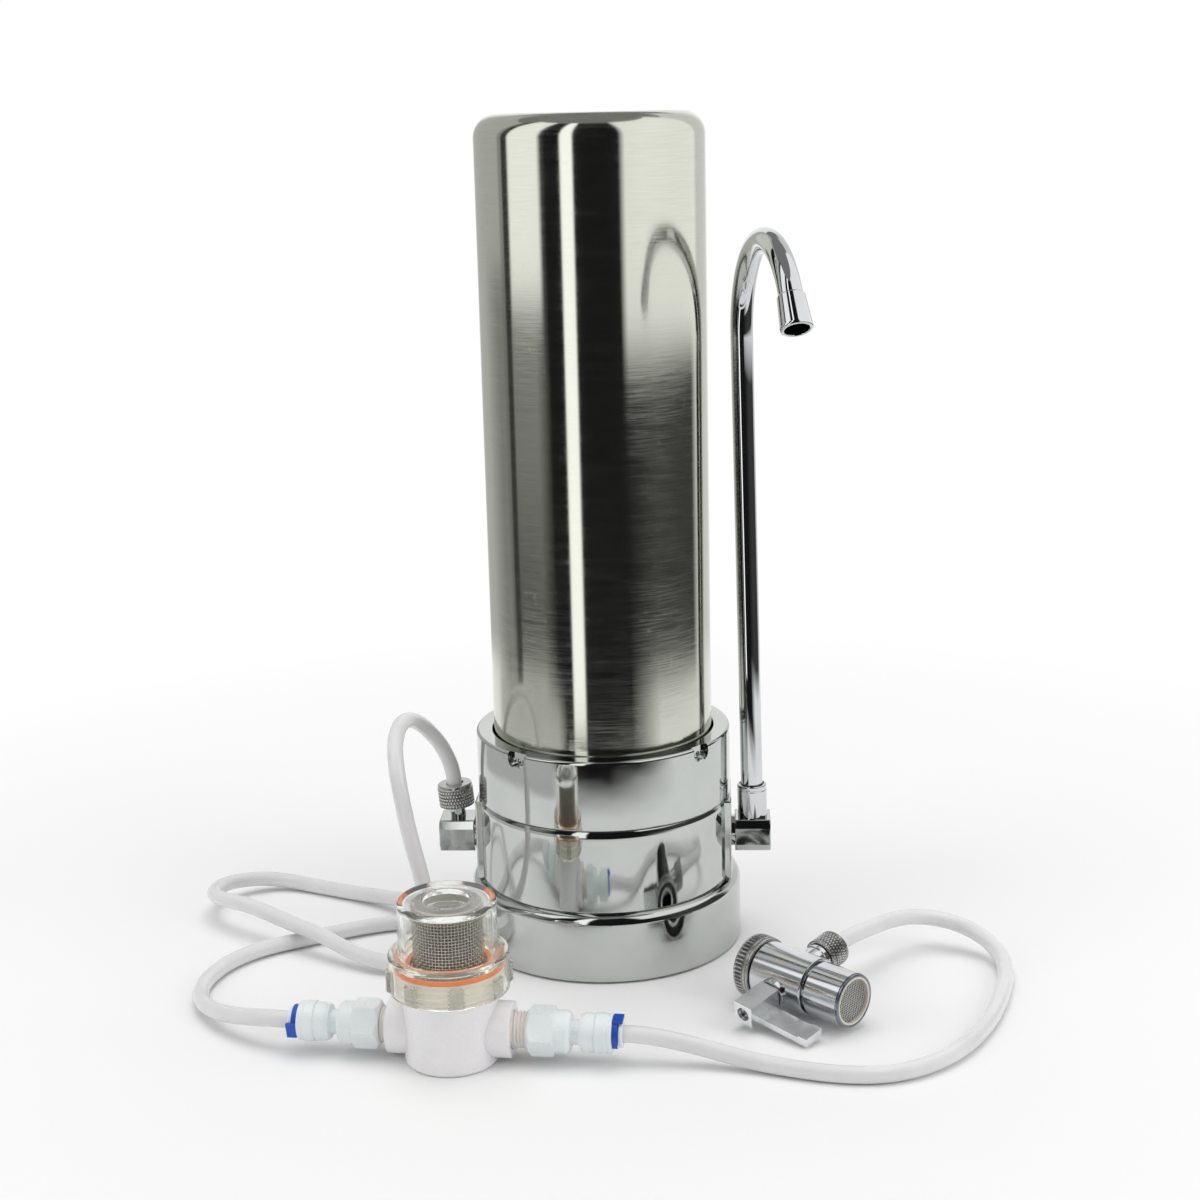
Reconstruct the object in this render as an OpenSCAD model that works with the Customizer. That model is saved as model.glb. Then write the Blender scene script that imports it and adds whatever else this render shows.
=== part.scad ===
// Countertop water filter: a steel canister on a chrome stand with a swivel spout,
// fed through an inline strainer and a tap diverter by two tubes.
// Millimetres, Z up. The origin is on the canister's axis at the table,
// X runs along the ports towards the spout, and -Y is the front.

/* [Canister] */
// Outside diameter of the canister
canister_d = 90; // [80:1:110]
// Sheet thickness of the canister
canister_wall = 1.2; // [0.8:0.1:2]
// Radius of the round at the closed top
canister_round = 9; // [4:0.5:14]
// How far the flange at the open end stands out
flange_w = 2.3; // [1.5:0.1:4]
// Thickness of that flange
flange_t = 3; // [2:0.1:5]
// Free space between the cartridge and the canister's top
canister_space = 12; // [5:0.1:30]

/* [Cartridge] */
// Length of the cartridge over its two caps
cartridge_len = 246; // [180:1:300]
// Ring of water between the cartridge and the canister
annulus_w = 9.3; // [8:0.1:14]
// Wall of the cartridge's shell
shell_wall = 1.5; // [1:0.1:3]
// Height of the cap at either end
cap_h = 12; // [8:0.5:20]
// Thickness of a cap's disc
cap_disc_t = 3.5; // [2:0.1:5]
// Radius of the bore through the filter medium
media_bore_r = 9; // [6:0.5:12]
// Radius of the spigot that plugs into the head
spigot_r = 12; // [10:0.1:15]
// Length of that spigot
spigot_len = 13; // [9:0.5:16]
// Radius of the bore through the spigot
spigot_bore_r = 6; // [4:0.1:7]
// Thickness of the spigot's O-ring
spigot_ring_d = 2.6; // [2:0.1:3]

/* [Clamp collar] */
// Wall of the collar outside the head's neck
collar_wall = 4.5; // [3.5:0.1:8]
// Height of the collar
collar_h = 28.6; // [24:0.1:40]
// Height of the collar's lip over the flange
collar_lip_h = 10.2; // [6:0.1:14]
// Round on the collar's top edge
collar_edge = 1.2; // [0.5:0.1:2]
// Number of spanner notches
notch_count = 4; // [2:1:8]
// Angle of the first notch
notch_turn = 51.7; // [0:0.1:90]
// Width of a notch
notch_w = 8.7; // [6:0.1:12]
// Height of a notch
notch_h = 6; // [3:0.1:9]
// Depth of a notch
notch_depth = 2.2; // [1:0.1:3]

/* [Head and base] */
// Height of the head's drum
head_h = 34; // [30:0.5:50]
// Round on the drum's top edge
head_edge = 1; // [0.4:0.1:2]
// Height of the neck inside the collar
neck_h = 15.8; // [13:0.1:24]
// Wall of the head round its hollow underside
head_wall = 5; // [3:0.5:7]
// Height of the base
base_h = 28.4; // [20:0.1:40]
// Radius of the base's shoulder
base_round = 4; // [2:0.1:8]
// Sheet thickness of the base
base_wall = 1.8; // [1:0.1:3]
// How far the foot pad stands below the base
foot_out = 0.8; // [0.4:0.1:2]
// How deep the foot pad sits in the base
foot_in = 0.8; // [0.4:0.1:1]
// Width of the base's rim over the foot pad
foot_w = 6; // [4:0.1:7]
// Number of screws under the base
screw_count = 3; // [3:1:6]
// Radius of a screw's shank
screw_r = 2; // [1.5:0.1:3]
// Length of a screw in the head
screw_len = 8; // [5:0.5:12]
// Thickness of the O-ring under the canister
seal_d = 2.2; // [1.6:0.1:3]

/* [Ports] */
// Height of the ports over the drum's foot
port_rise = 16.1; // [13:0.1:20]
// Radius of the water passages
passage_r = 3; // [2:0.1:3.5]
// Radius of the port threads
port_thread_r = 5.4; // [4.5:0.1:6]
// Length of a port thread in the head
port_thread_len = 10; // [6:0.5:14]
// Radius of the nipple between head and elbow
nipple_r = 6.5; // [6:0.1:7]
// Width of the flat pad on the drum round a port
port_pad_w = 30.6; // [20:0.1:36]
// How far that pad stands out of the drum
port_pad_out = 0.4; // [0.2:0.1:1]
// Gap between the drum and the elbow
nipple_gap = 1.9; // [1.5:0.1:6]
// Thickness of a port seal
port_seal_t = 0.8; // [0.5:0.1:1.2]
// Length of an elbow block
block_len = 14.8; // [14:0.1:20]
// Width of an elbow block
block_w = 18; // [16:0.1:24]
// Height of an elbow block
block_h = 13.4; // [12.5:0.1:18]
// Width taken off each long edge of a block
block_cut_w = 2; // [0.5:0.1:2.5]
// Height taken off each long edge of a block
block_cut_h = 3.2; // [0.5:0.1:4]

/* [Inlet fitting] */
// Lean of the inlet fitting away from the canister
inlet_lean = 5; // [0:0.5:10]
// Radius of the stem's neck
stem_r = 3.1; // [2.8:0.1:4]
// Height of the neck seen under the nut
stem_h = 4.8; // [3:0.1:8]
// Radius of the stem's threaded head
stem_head_r = 5; // [4.6:0.1:6]
// Height of the stem's threaded head
stem_head_h = 4.6; // [3:0.1:7]
// Radius of the bore through the stem
stem_bore_r = 1.6; // [1:0.1:2]
// Outside radius of the knurled nut
inlet_nut_r = 7.4; // [7:0.1:10]
// Height of the knurled nut
inlet_nut_h = 9.6; // [9:0.1:14]
// Thickness of a compression sleeve
ferrule_t = 0.8; // [0.5:0.1:1.2]

/* [Spout] */
// Outside radius of the spout pipe
pipe_r = 4.5; // [3.8:0.1:4.8]
// Wall of the spout pipe
pipe_wall = 1; // [0.6:0.1:1.4]
// Lean of the spout towards the canister
spout_lean = 0.96; // [0:0.02:1]
// Height of the straight leg over the elbow
leg_len = 199; // [150:1:240]
// Radius of the gooseneck
bend_r = 40; // [30:0.5:60]
// Angle of the gooseneck
bend_angle = 147; // [120:1:170]
// Direction in which the gooseneck points
spout_turn = -76.6; // [-90:0.1:0]
// Outside radius of the socket
socket_r = 6.1; // [5.8:0.1:7]
// Height of the socket over the elbow
socket_h = 13.8; // [12:0.1:20]
// Thickness of a socket O-ring
socket_ring_d = 1; // [0.8:0.05:1.1]
// Length of the nozzle
nozzle_len = 13.6; // [10:0.1:20]
// Radius of the nozzle where it meets the pipe
nozzle_r = 5.2; // [5:0.1:6]
// Radius of the nozzle at its mouth
nozzle_mouth_r = 6; // [6:0.1:7]
// Radius of the bore at the mouth
nozzle_bore_r = 4.6; // [4.5:0.1:5]

/* [Strainer] */
// Place of the strainer along the ports
strainer_x = -51; // [-80:1:-40]
// Place of the strainer towards the front
strainer_y = -119; // [-160:1:-100]
// Turn of the strainer's port axis
strainer_turn = -5; // [-30:1:30]
// Radius of the strainer's body
tee_r = 17.6; // [16.5:0.1:19]
// Height of the body under the ring
tee_h = 28; // [24:0.5:40]
// Height of the strainer's port axis
tee_port_z = 12; // [11:0.1:14]
// Radius of a port socket
tee_socket_r = 10.4; // [9:0.1:10.8]
// Reach of a port socket from the axis
tee_socket_x = 23.2; // [20:0.1:30]
// Radius of the threaded neck under the ring
tee_neck_r = 20; // [19.8:0.1:21]
// Height of the threaded neck
tee_neck_h = 9; // [6:0.5:12]
// Radius of the chamber in the body
tee_chamber_r = 11; // [9:0.1:11.5]
// Thickness of the gasket
gasket_t = 2; // [1.5:0.1:3]
// Outside radius of the cap
strainer_cap_r = 18.2; // [17:0.1:19]
// Height of the cap over the gasket
strainer_cap_h = 23.5; // [20:0.5:32]
// Wall of the cap
strainer_cap_wall = 2.2; // [1.5:0.1:2.6]
// Thickness of the cap's flange
strainer_flange_t = 1.8; // [1.6:0.1:5]
// Radius of the well in the cap's top
well_r = 8.5; // [6:0.1:9]
// Depth of that well
well_depth = 4.5; // [2:0.1:6]
// Outside radius of the screen
screen_r = 13; // [12.5:0.1:14]
// Thickness of the screen
screen_t = 0.6; // [0.4:0.1:1]
// Wall of the lugged ring
ring_wall = 1.8; // [1.6:0.1:3]
// Height of the ring's lip over the cap's flange
ring_lip_h = 1.4; // [1.2:0.1:4]
// Number of lugs on the ring
lug_count = 8; // [4:1:12]
// Width of a lug
lug_w = 5; // [3:0.1:6]
// Height of a lug
lug_h = 8; // [5:0.1:9]
// How far a lug stands out
lug_out = 1.2; // [0.4:0.1:1.5]

/* [Push fittings] */
// Radius of the thread that enters the strainer
fit_thread_r = 7; // [6:0.1:7.4]
// Depth of that thread in the strainer
fit_thread_in = 8; // [6:0.5:9]
// Length of thread seen outside the strainer on the first fitting
fit_thread_out = 2.9; // [1:0.1:6]
// How much further out the second fitting stands
fit_b_out = 2.6; // [0:0.1:4]
// Width of the hexagon across its flats
hex_af = 16.2; // [15.9:0.1:18]
// Length of the hexagon
hex_len = 10.2; // [6:0.1:14]
// Radius of the round part behind the hexagon
shoulder_r = 7.9; // [7.5:0.1:9]
// Length of that round part
shoulder_len = 5.7; // [4:0.1:10]
// Radius of the neck
fit_neck_r = 4.6; // [4.3:0.1:6]
// Length of the neck
fit_neck_len = 3.5; // [2:0.1:6]
// Radius of the barrel
barrel_r = 7.5; // [7:0.1:9]
// Length of the barrel
barrel_len = 11.9; // [11.5:0.1:18]
// Radius of the collet's sleeve
collet_r = 4.2; // [4:0.1:4.6]
// Length of the collet's sleeve inside the barrel
collet_in = 4; // [3:0.1:5]
// Radius of the collet's flange
collet_flange_r = 5; // [4.8:0.1:5.2]
// Thickness of the collet's flange
collet_flange_t = 1.4; // [1:0.1:3]
// Thickness of a locking clip
clip_t = 2; // [1.5:0.1:3]
// Outside radius of a locking clip
clip_r = 5.9; // [5.7:0.1:7]
// Width of a clip's tab
clip_tab_w = 6; // [4:0.1:8]
// Reach of a clip's tab along the tube
clip_tab_len = 1.7; // [1:0.1:4]
// Direction of the first clip's tab, from the front upwards
clip_a_turn = -15; // [-15:1:90]
// Direction of the second clip's tab, from the front upwards
clip_b_turn = 90; // [-15:1:110]
// Thickness of a fitting's O-ring
fit_ring_d = 1.2; // [0.9:0.05:1.4]

/* [Tubes] */
// Outside diameter of both tubes
tube_d = 6.4; // [6:0.1:6.5]

/* [Diverter] */
// Place of the diverter's inlet end along the ports
diverter_x = 60.7; // [60:0.1:80]
// Place of the diverter's inlet end towards the front
diverter_y = -64.3; // [-90:0.1:-60]
// Direction from its inlet to its outlet
diverter_turn = -42; // [-60:1:-30]
// Roll that lowers the lever and lifts the tube port
diverter_roll = 10; // [0:1:15]
// Radius of the knurled swivel nut
swivel_r = 12.5; // [12.2:0.1:15]
// Length of the knurled swivel nut
swivel_len = 7; // [6.5:0.1:10]
// Radius of the tap thread in that nut
tap_thread_r = 10.9; // [10:0.1:11]
// Thickness of the tap washer
tap_washer_t = 1.2; // [1:0.1:1.5]
// Radius of the body
diverter_r = 11.4; // [11:0.1:12]
// Length of the body
diverter_len = 24.9; // [23:0.1:34]
// Radius of the outlet sleeve
outlet_r = 10.5; // [10:0.1:11]
// Length of the outlet sleeve
outlet_len = 16.7; // [12:0.1:22]
// Width of the groove between body and sleeve
outlet_groove = 1; // [0.5:0.1:2]
// Wall of the outlet sleeve
outlet_wall = 1.2; // [0.8:0.1:1.5]
// Width of the ring that holds the outlet screen
outlet_ring_w = 0.8; // [0.7:0.1:1.5]
// How deep the outlet screen lies
outlet_screen_in = 1.2; // [1:0.1:5]
// Place of the valve stem along the body
valve_x = 19.5; // [18.5:0.1:21]
// Radius of the valve stem
valve_r = 3.6; // [3:0.1:4]
// Width of the lever's square hub
hub_w = 8.4; // [8:0.1:10]
// Reach of the hub from the body's axis
hub_reach = 29; // [26:0.5:34]
// Length of the lever's arm
arm_len = 27; // [20:0.5:34]
// Width of the arm
arm_w = 9; // [6:0.1:10]
// Thickness of the arm
arm_t = 2.6; // [2:0.1:3]
// Droop of the arm below the body's direction
arm_droop = 7; // [0:1:8]
// Radius of the lever's screw head
lever_screw_r = 2.4; // [2:0.1:2.6]
// Radius of the tube port on the body
side_port_r = 6; // [5.6:0.1:7]
// Reach of the tube port from the body's axis
side_port_y = 17; // [15:0.1:20]
// Outside radius of the tube nut
tube_nut_r = 7; // [6.8:0.1:8.5]
// Length of the tube nut
tube_nut_len = 9.7; // [9:0.1:14]

/* [Clearances] */
// Radial gap of a thread that turns
thread_gap = 0.4; // [0.3:0.05:0.6]
// Radial gap of a fixed joint
fixed_gap = 0.05; // [0.02:0.01:0.1]
// Radial gap of the spout in its socket
swivel_gap = 0.06; // [0.03:0.01:0.1]
// Gap between faces that part or turn
face_gap = 0.3; // [0.2:0.05:0.5]
// Radial gap around a tube
tube_gap = 0.4; // [0.3:0.05:0.6]

/* [Hidden] */
round_fn = 64;

// Stand
canister_r = canister_d / 2;
bore_r = canister_r - canister_wall;
flange_r = canister_r + flange_w;
neck_r = flange_r + thread_gap / 2;
collar_bore_r = neck_r + thread_gap;
collar_r = collar_bore_r + collar_wall;
head_r = collar_r;
base_r = head_r + base_round;
seam_z = base_h + head_h;
neck_z = seam_z + neck_h;
collar_z0 = seam_z + thread_gap;
collar_z1 = collar_z0 + collar_h;
lip_z = neck_z + flange_t + face_gap;
lip_bore_r = canister_r + thread_gap * 1.5;
seal_r = (bore_r + flange_r) / 2;
pad_r = base_r - base_wall;
rim_z = foot_out + foot_in + 1.6;
rim_r = pad_r - foot_w;
screw_ring_r = head_r - 7;
screw_head_r = screw_r * 1.75;
screw_head_h = screw_r * 1.25;
web_r = screw_ring_r - 2.5 * screw_r - 4;

// Cartridge
cartridge_r = bore_r - annulus_w;
shell_r = cartridge_r - shell_wall;
spigot_z = neck_z + face_gap - spigot_len;
cart_z0 = neck_z + face_gap;
cart_z1 = cart_z0 + cartridge_len;
canister_top = cart_z1 + canister_space + canister_wall;
feed_x = bore_r - annulus_w / 2 - 0.4;
spigot_ring_z = spigot_z + spigot_len / 2;

// Ports
port_z = base_h + port_rise;
block_x0 = head_r + nipple_gap;
port_x = block_x0 + block_len / 2;
block_top = port_z + block_h / 2;
spot_x = head_r - 0.8;
block_thread_len = port_x - block_x0 - stem_r - 0.8;
down_len = block_h / 2;
drop_r = passage_r - 0.4;

// Inlet fitting
tube_r = tube_d / 2;
nut_z0 = stem_h + fixed_gap * 2;
stem_top = stem_h + stem_head_h;
nut_shoulder = stem_top + ferrule_t + face_gap;
tube_hole_r = tube_r + tube_gap;
ferrule_r = stem_head_r - 0.2;

// Spout
socket_bore_r = pipe_r + swivel_gap;
socket_floor = 1.2;
foot_r = socket_r - 1.4;
foot_depth = block_h / 2 - port_thread_r - 0.5;
ring_pitch = (socket_h - socket_floor) / 3;

// Strainer
tee_neck_z = tee_h + tee_neck_h;
cap_z0 = tee_neck_z + gasket_t;
cap_z1 = cap_z0 + strainer_cap_h;
ring_bore_r = tee_neck_r + thread_gap;
ring_r = ring_bore_r + ring_wall;
ring_z0 = tee_h + face_gap;
ring_shoulder = cap_z0 + strainer_flange_t + face_gap;
ring_z1 = ring_shoulder + ring_lip_h;
screen_in_r = screen_r - screen_t;
screen_z0 = tee_neck_z - 4 + face_gap;
well_floor = cap_z1 - well_depth - 2.2;
screen_z1 = cap_z1 - 3;

// Push fittings, as distances from the strainer's axis
thread_x0 = tee_socket_x - fit_thread_in;
hex_x = tee_socket_x + fit_thread_out;
shoulder_x = hex_x + hex_len;
fit_neck_x = shoulder_x + shoulder_len;
barrel_x = fit_neck_x + fit_neck_len;
face_x = barrel_x + barrel_len;
clip_gap = face_gap / 2;
collet_x = face_x + clip_t + 2 * clip_gap + 0.1;
collet_end = collet_x + collet_flange_t;
tube_stop = face_x - 9;
collet_seat = face_x - collet_in - 0.3;
tube_bore_r = tube_r + 0.2;
fit_ring_x = collet_seat - 2;

// Diverter, along its own axis
body_x = swivel_len + face_gap;
body_end = body_x + diverter_len;
sleeve_x = body_end + outlet_groove;
diverter_end = sleeve_x + outlet_len;
outlet_bore_r = outlet_r - outlet_wall;
flange_in_r = tap_thread_r - 0.2;
spigot_in_r = flange_in_r - 1.3;
lip_t = 1.1;
flange_in_t = 1.2;
tap_seat = swivel_len - lip_t - face_gap - flange_in_t;
tap_thread_len = tap_seat - tap_washer_t - 0.2;
recess_r = tap_thread_r + 0.3;
chamber_r = diverter_r - 3.4;
boss_y = diverter_r + 1.3;
hub_y = boss_y + face_gap;
tube_seat_y = side_port_y + 3;
tube_nut_y = side_port_y + face_gap;
tube_nut_shoulder = tube_seat_y + ferrule_t + face_gap;

// Middle line of the inlet tube, from the knurled nut to the strainer
INLET_ROUTE = [
    [-62.7, 0, 61], [-63.8, -0.1, 71.9], [-67.3, -2, 82], [-71.8, -7, 90.6], [-75.4, -15, 97],
    [-77.9, -25, 100.6], [-79.2, -35.8, 100.9], [-79.3, -46.1, 97.4], [-77.9, -54, 90.1], [-75.9, -58.3, 80.3],
    [-73.9, -59.9, 69.7], [-71.8, -59.9, 59], [-69.6, -58.9, 48.3], [-68.2, -56.5, 37.7], [-67.2, -52.1, 27.8],
    [-66.4, -44.8, 19.8], [-66.9, -35.3, 14.6], [-68.8, -24.8, 12.1], [-71.6, -14.3, 11.2], [-75.8, -4.2, 10.7],
    [-81.5, 5.1, 9.6], [-88.3, 13.4, 7.5], [-96.3, 20.5, 5.5], [-105.4, 26.5, 4.2], [-115, 31.5, 3.5],
    [-125, 36.2, 3.3], [-135, 40.6, 3.3], [-145.4, 43.7, 4.1], [-156.2, 43, 5.5], [-165.5, 37.7, 6.9],
    [-171.6, 28.8, 8.4], [-173.1, 18.2, 9.8], [-169.7, 8, 11.3], [-162.4, 0, 12.6], [-153.4, -6.1, 13.2],
    [-144.3, -12.2, 12.6], [-135.2, -18.2, 11.5], [-126, -24, 10.5], [-116.8, -29.7, 9.3], [-107.8, -35.7, 7.5],
    [-98.7, -41.6, 5.8], [-88.8, -46.2, 4.9], [-78, -46.9, 4.7], [-68, -42.8, 4.5], [-61.1, -34.5, 4.2],
    [-58.7, -23.9, 4], [-61.3, -13.4, 3.8], [-68.5, -5.3, 3.6], [-78.6, -1.3, 3.4], [-89.5, -1.9, 3.3],
    [-99.9, -5.3, 3.3], [-109.7, -10.1, 3.3], [-119.3, -15.4, 3.3], [-128.8, -20.9, 3.3], [-138, -26.7, 3.3],
    [-146.1, -34.1, 3.3], [-152.3, -43, 3.3], [-156.2, -53.2, 3.3], [-157.7, -64, 3.4], [-156.4, -74.9, 3.7],
    [-152.3, -84.9, 4.6], [-145.9, -93.7, 6], [-138.1, -101.1, 7.9], [-129.2, -107.1, 9.9], [-119.5, -111.9, 11.7],
    [-114.8, -113.3, 12], [-106.2, -114.2, 12]];

// Middle line of the supply tube, from the strainer to the diverter
SUPPLY_ROUTE = [
    [6.8, -124.1, 12], [17.9, -124.9, 11.9], [28.9, -125.2, 10.2], [39.7, -125.9, 7.8], [50.4, -127.5, 5.5],
    [61.1, -130.1, 3.9], [71.8, -133.3, 3.4], [82.5, -136.3, 3.3], [93.4, -138.1, 3.3], [104.5, -137.8, 3.3],
    [115.1, -134.3, 3.3], [124.4, -128.3, 3.3], [132.3, -120.6, 3.3], [139, -111.7, 3.3], [144.5, -102.1, 3.3],
    [149.2, -91.9, 3.3], [153, -81.5, 3.3], [156.2, -70.9, 3.3], [158.9, -60.1, 3.3], [160.5, -49.1, 3.5],
    [159.9, -38.2, 5], [155.2, -28.6, 7.8], [146.8, -22, 10.6], [136.3, -19.7, 12.9], [125.7, -22.3, 14.7],
    [117.1, -29.1, 16.1], [110.2, -37.8, 17.4], [103.1, -46.3, 18.2], [95.7, -54.6, 17.9], [88.4, -62.7, 16]];

// Sections of revolution with rounded outer corners

module corner(x, y, r, dir) {
    difference() {
        translate([x - r, dir > 0 ? y - r : y - 1])
            square([r + 1, r + 1]);
        translate([x - r, y - dir * r])
            circle(r, $fn = round_fn);
    }
}

module section(r0, r1, z0, z1, top = 0, bottom = 0) {
    difference() {
        translate([r0, z0])
            square([r1 - r0, z1 - z0]);
        if (top > 0) corner(r1, z1, top, 1);
        if (bottom > 0) corner(r1, z0, bottom, -1);
    }
}

module ring(r0, r1, z0, z1, top = 0, bottom = 0) {
    rotate_extrude($fn = round_fn)
        section(r0, r1, z0, z1, top, bottom);
}

module rod(r, z0, z1) {
    translate([0, 0, z0])
        cylinder(r = r, h = z1 - z0, $fn = round_fn);
}

module o_ring(r_mid, d, z) {
    translate([0, 0, z])
        rotate_extrude($fn = round_fn)
            translate([r_mid, 0])
                circle(d / 2, $fn = 32);
}

// Frames in which the pieces are drawn

module along_x() {
    rotate([0, 90, 0])
        children();
}

module side(s) {
    mirror([s < 0 ? 1 : 0, 0, 0])
        children();
}

module at_inlet() {
    translate([-port_x, 0, block_top])
        rotate([0, -inlet_lean, 0])
            children();
}

module at_spout() {
    translate([port_x, 0, block_top])
        rotate([0, -spout_lean, 0])
            children();
}

module at_nozzle() {
    at_spout()
        translate([0, 0, leg_len])
            rotate([0, 0, spout_turn])
                translate([bend_r * (1 - cos(bend_angle)), 0, bend_r * sin(bend_angle)])
                    rotate([0, bend_angle, 0])
                        children();
}

module at_strainer() {
    translate([strainer_x, strainer_y, 0])
        rotate([0, 0, strainer_turn])
            children();
}

// The first fitting is on the inlet tube's side, the second on the supply tube's side
module at_fitting(s) {
    at_strainer()
        translate([0, 0, tee_port_z])
            rotate([0, 0, s < 0 ? 180 : 0])
                along_x()
                    children();
}

// The fittings' own places, the second one less deeply screwed in
module on_fitting(s) {
    at_fitting(s)
        translate([0, 0, s < 0 ? 0 : fit_b_out])
            children();
}

module at_diverter() {
    translate([diverter_x, diverter_y, swivel_r])
        rotate([0, 0, diverter_turn])
            rotate([diverter_roll, 0, 0])
                children();
}

module on_lever_axis() {
    translate([valve_x, 0, 0])
        rotate([90, 0, 0])
            children();
}

module on_tube_port() {
    translate([valve_x, 0, 0])
        rotate([-90, 0, 0])
            children();
}

// Stand

module base_skirt() {
    color("gainsboro")
        difference() {
            rotate_extrude($fn = round_fn)
                difference() {
                    section(web_r, base_r, foot_out, base_h, base_round, 0.5);
                    section(0, base_r - base_wall, rim_z, base_h - base_wall, base_round - 1);
                    section(0, rim_r, 0, rim_z + 1);
                    section(0, pad_r, 0, foot_out + foot_in);
                }
            base_screw_places()
                rod(screw_r + 0.2, 0, base_h + 1);
        }
}

module base_screw_places() {
    for (i = [0 : screw_count - 1])
        rotate([0, 0, 90 + i * 360 / screw_count])
            translate([screw_ring_r, 0, 0])
                children();
}

module foot_pad() {
    color("dimgray")
        ring(0, pad_r - fixed_gap, 0, foot_out + foot_in, 0, 0.4);
}

module base_screws() {
    color("silver")
        base_screw_places() {
            rod(screw_head_r, base_h - base_wall - screw_head_h, base_h - base_wall);
            rod(screw_r - fixed_gap, base_h - base_wall, base_h + screw_len);
        }
}

module head_body() {
    color("gainsboro")
        difference() {
            union() {
                ring(0, head_r, base_h, seam_z, head_edge);
                ring(0, neck_r, seam_z - 1, neck_z, 0.5);
                for (s = [-1, 1])
                    side(s)
                        translate([head_r - 2 * head_wall, -port_pad_w / 2, base_h])
                            cube([2 * head_wall + port_pad_out, port_pad_w, head_h]);
            }
            ring(seal_r - seal_d * 0.6, seal_r + seal_d * 0.6, neck_z - seal_d, neck_z + 1);
            rod(spigot_r + fixed_gap, spigot_z, neck_z + 1);
            rod(spigot_bore_r, port_z, spigot_z + 1);
            translate([-feed_x, 0, 0])
                rod(passage_r, port_z, neck_z + 1);
            side(-1)
                along_x()
                    translate([-port_z, 0, 0])
                        rod(passage_r, feed_x - passage_r, head_r);
            along_x()
                translate([-port_z, 0, 0])
                    rod(passage_r, 0, head_r);
            for (s = [-1, 1])
                side(s)
                    along_x()
                        translate([-port_z, 0, 0]) {
                            rod(port_thread_r, head_r - port_thread_len, head_r + 1);
                            rod(nipple_r + 0.3, spot_x, head_r + 1);
                        }
            base_screw_places()
                rod(screw_r, base_h - 1, base_h + screw_len + 1);
            rod(screw_ring_r - 2 * screw_r - 4, base_h - 1, base_h + 6);
            head_hollow();
        }
}

// The casting's hollow leaves a rib along the ports, the spigot's seat and the screw bosses
module head_hollow() {
    rib = port_thread_r + 3;
    difference() {
        union() {
            ring(spigot_r + head_wall, head_r - head_wall, base_h - 1, seam_z - head_wall);
            ring(spigot_r + head_wall, neck_r - head_wall, base_h - 1, neck_z - seal_d - head_wall);
        }
        translate([-head_r, -rib, 0])
            cube([2 * head_r, 2 * rib, neck_z]);
        base_screw_places()
            rod(screw_r + 3, 0, base_h + screw_len + 4);
    }
}

module canister_seal() {
    color("black")
        o_ring(seal_r, seal_d, neck_z - seal_d / 2);
}

module canister() {
    color("silver")
        rotate_extrude($fn = round_fn)
            difference() {
                union() {
                    section(0, canister_r, neck_z, canister_top, canister_round);
                    section(0, flange_r, neck_z, neck_z + flange_t, 0.6);
                }
                section(0, bore_r, neck_z - 1, canister_top - canister_wall,
                    max(0.5, canister_round - canister_wall));
            }
}

module clamp_collar() {
    color("gainsboro")
        difference() {
            rotate_extrude($fn = round_fn)
                difference() {
                    section(lip_bore_r, collar_r, collar_z0, collar_z1, collar_edge, 0.5);
                    section(0, collar_bore_r, collar_z0 - 1, lip_z);
                }
            for (i = [0 : notch_count - 1])
                rotate([0, 0, notch_turn + i * 360 / notch_count])
                    notch();
        }
}

module notch() {
    translate([collar_r - notch_depth, 0, collar_z1])
        rotate([90, 0, 90])
            linear_extrude(notch_depth + 1)
                polygon([[-notch_w / 2, 1], [-notch_w / 2, -notch_h * 0.6], [-notch_w * 0.3, -notch_h],
                    [notch_w * 0.3, -notch_h], [notch_w / 2, -notch_h * 0.6], [notch_w / 2, 1]]);
}

// Cartridge

module cartridge_bottom_cap() {
    color("whitesmoke")
        difference() {
            union() {
                ring(0, cartridge_r, cart_z0, cart_z0 + cap_h, 1, 1);
                rod(spigot_r, spigot_z, cart_z0 + 1);
            }
            rod(shell_r, cart_z0 + cap_disc_t, cart_z0 + cap_h + 1);
            rod(spigot_bore_r, spigot_z - 1, cart_z0 + cap_disc_t + 1);
            ring(spigot_r - spigot_ring_d, spigot_r + 1, spigot_ring_z - spigot_ring_d * 0.6,
                spigot_ring_z + spigot_ring_d * 0.6);
        }
}

module cartridge_oring() {
    color("black")
        o_ring(spigot_r - spigot_ring_d / 2, spigot_ring_d, spigot_ring_z);
}

module cartridge_shell() {
    color("whitesmoke")
        ring(shell_r - shell_wall, shell_r - fixed_gap, cart_z0 + cap_disc_t, cart_z1 - cap_disc_t);
}

module cartridge_media() {
    color("darkslategray")
        ring(media_bore_r, shell_r - shell_wall - fixed_gap, cart_z0 + cap_disc_t, cart_z1 - cap_disc_t);
}

module cartridge_top_cap() {
    color("whitesmoke")
        difference() {
            ring(0, cartridge_r, cart_z1 - cap_h, cart_z1, 1, 1);
            rod(shell_r, cart_z1 - cap_h - 1, cart_z1 - cap_disc_t);
        }
}

// Ports

module port_seals() {
    color("black")
        for (s = [-1, 1])
            side(s)
                translate([0, 0, port_z])
                    along_x()
                        ring(port_thread_r + 0.1, nipple_r - 0.1, spot_x, spot_x + port_seal_t);
}

module nipple(s) {
    color("gainsboro")
        side(s)
            translate([0, 0, port_z])
                along_x()
                    difference() {
                        union() {
                            rod(port_thread_r - fixed_gap, head_r - port_thread_len + 0.5,
                                block_x0 + block_thread_len - 0.3);
                            rod(nipple_r, spot_x + port_seal_t, block_x0);
                        }
                        rod(passage_r, 0, block_x0 + block_len);
                    }
}

module inlet_nipple() {
    nipple(-1);
}

module outlet_nipple() {
    nipple(1);
}

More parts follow.
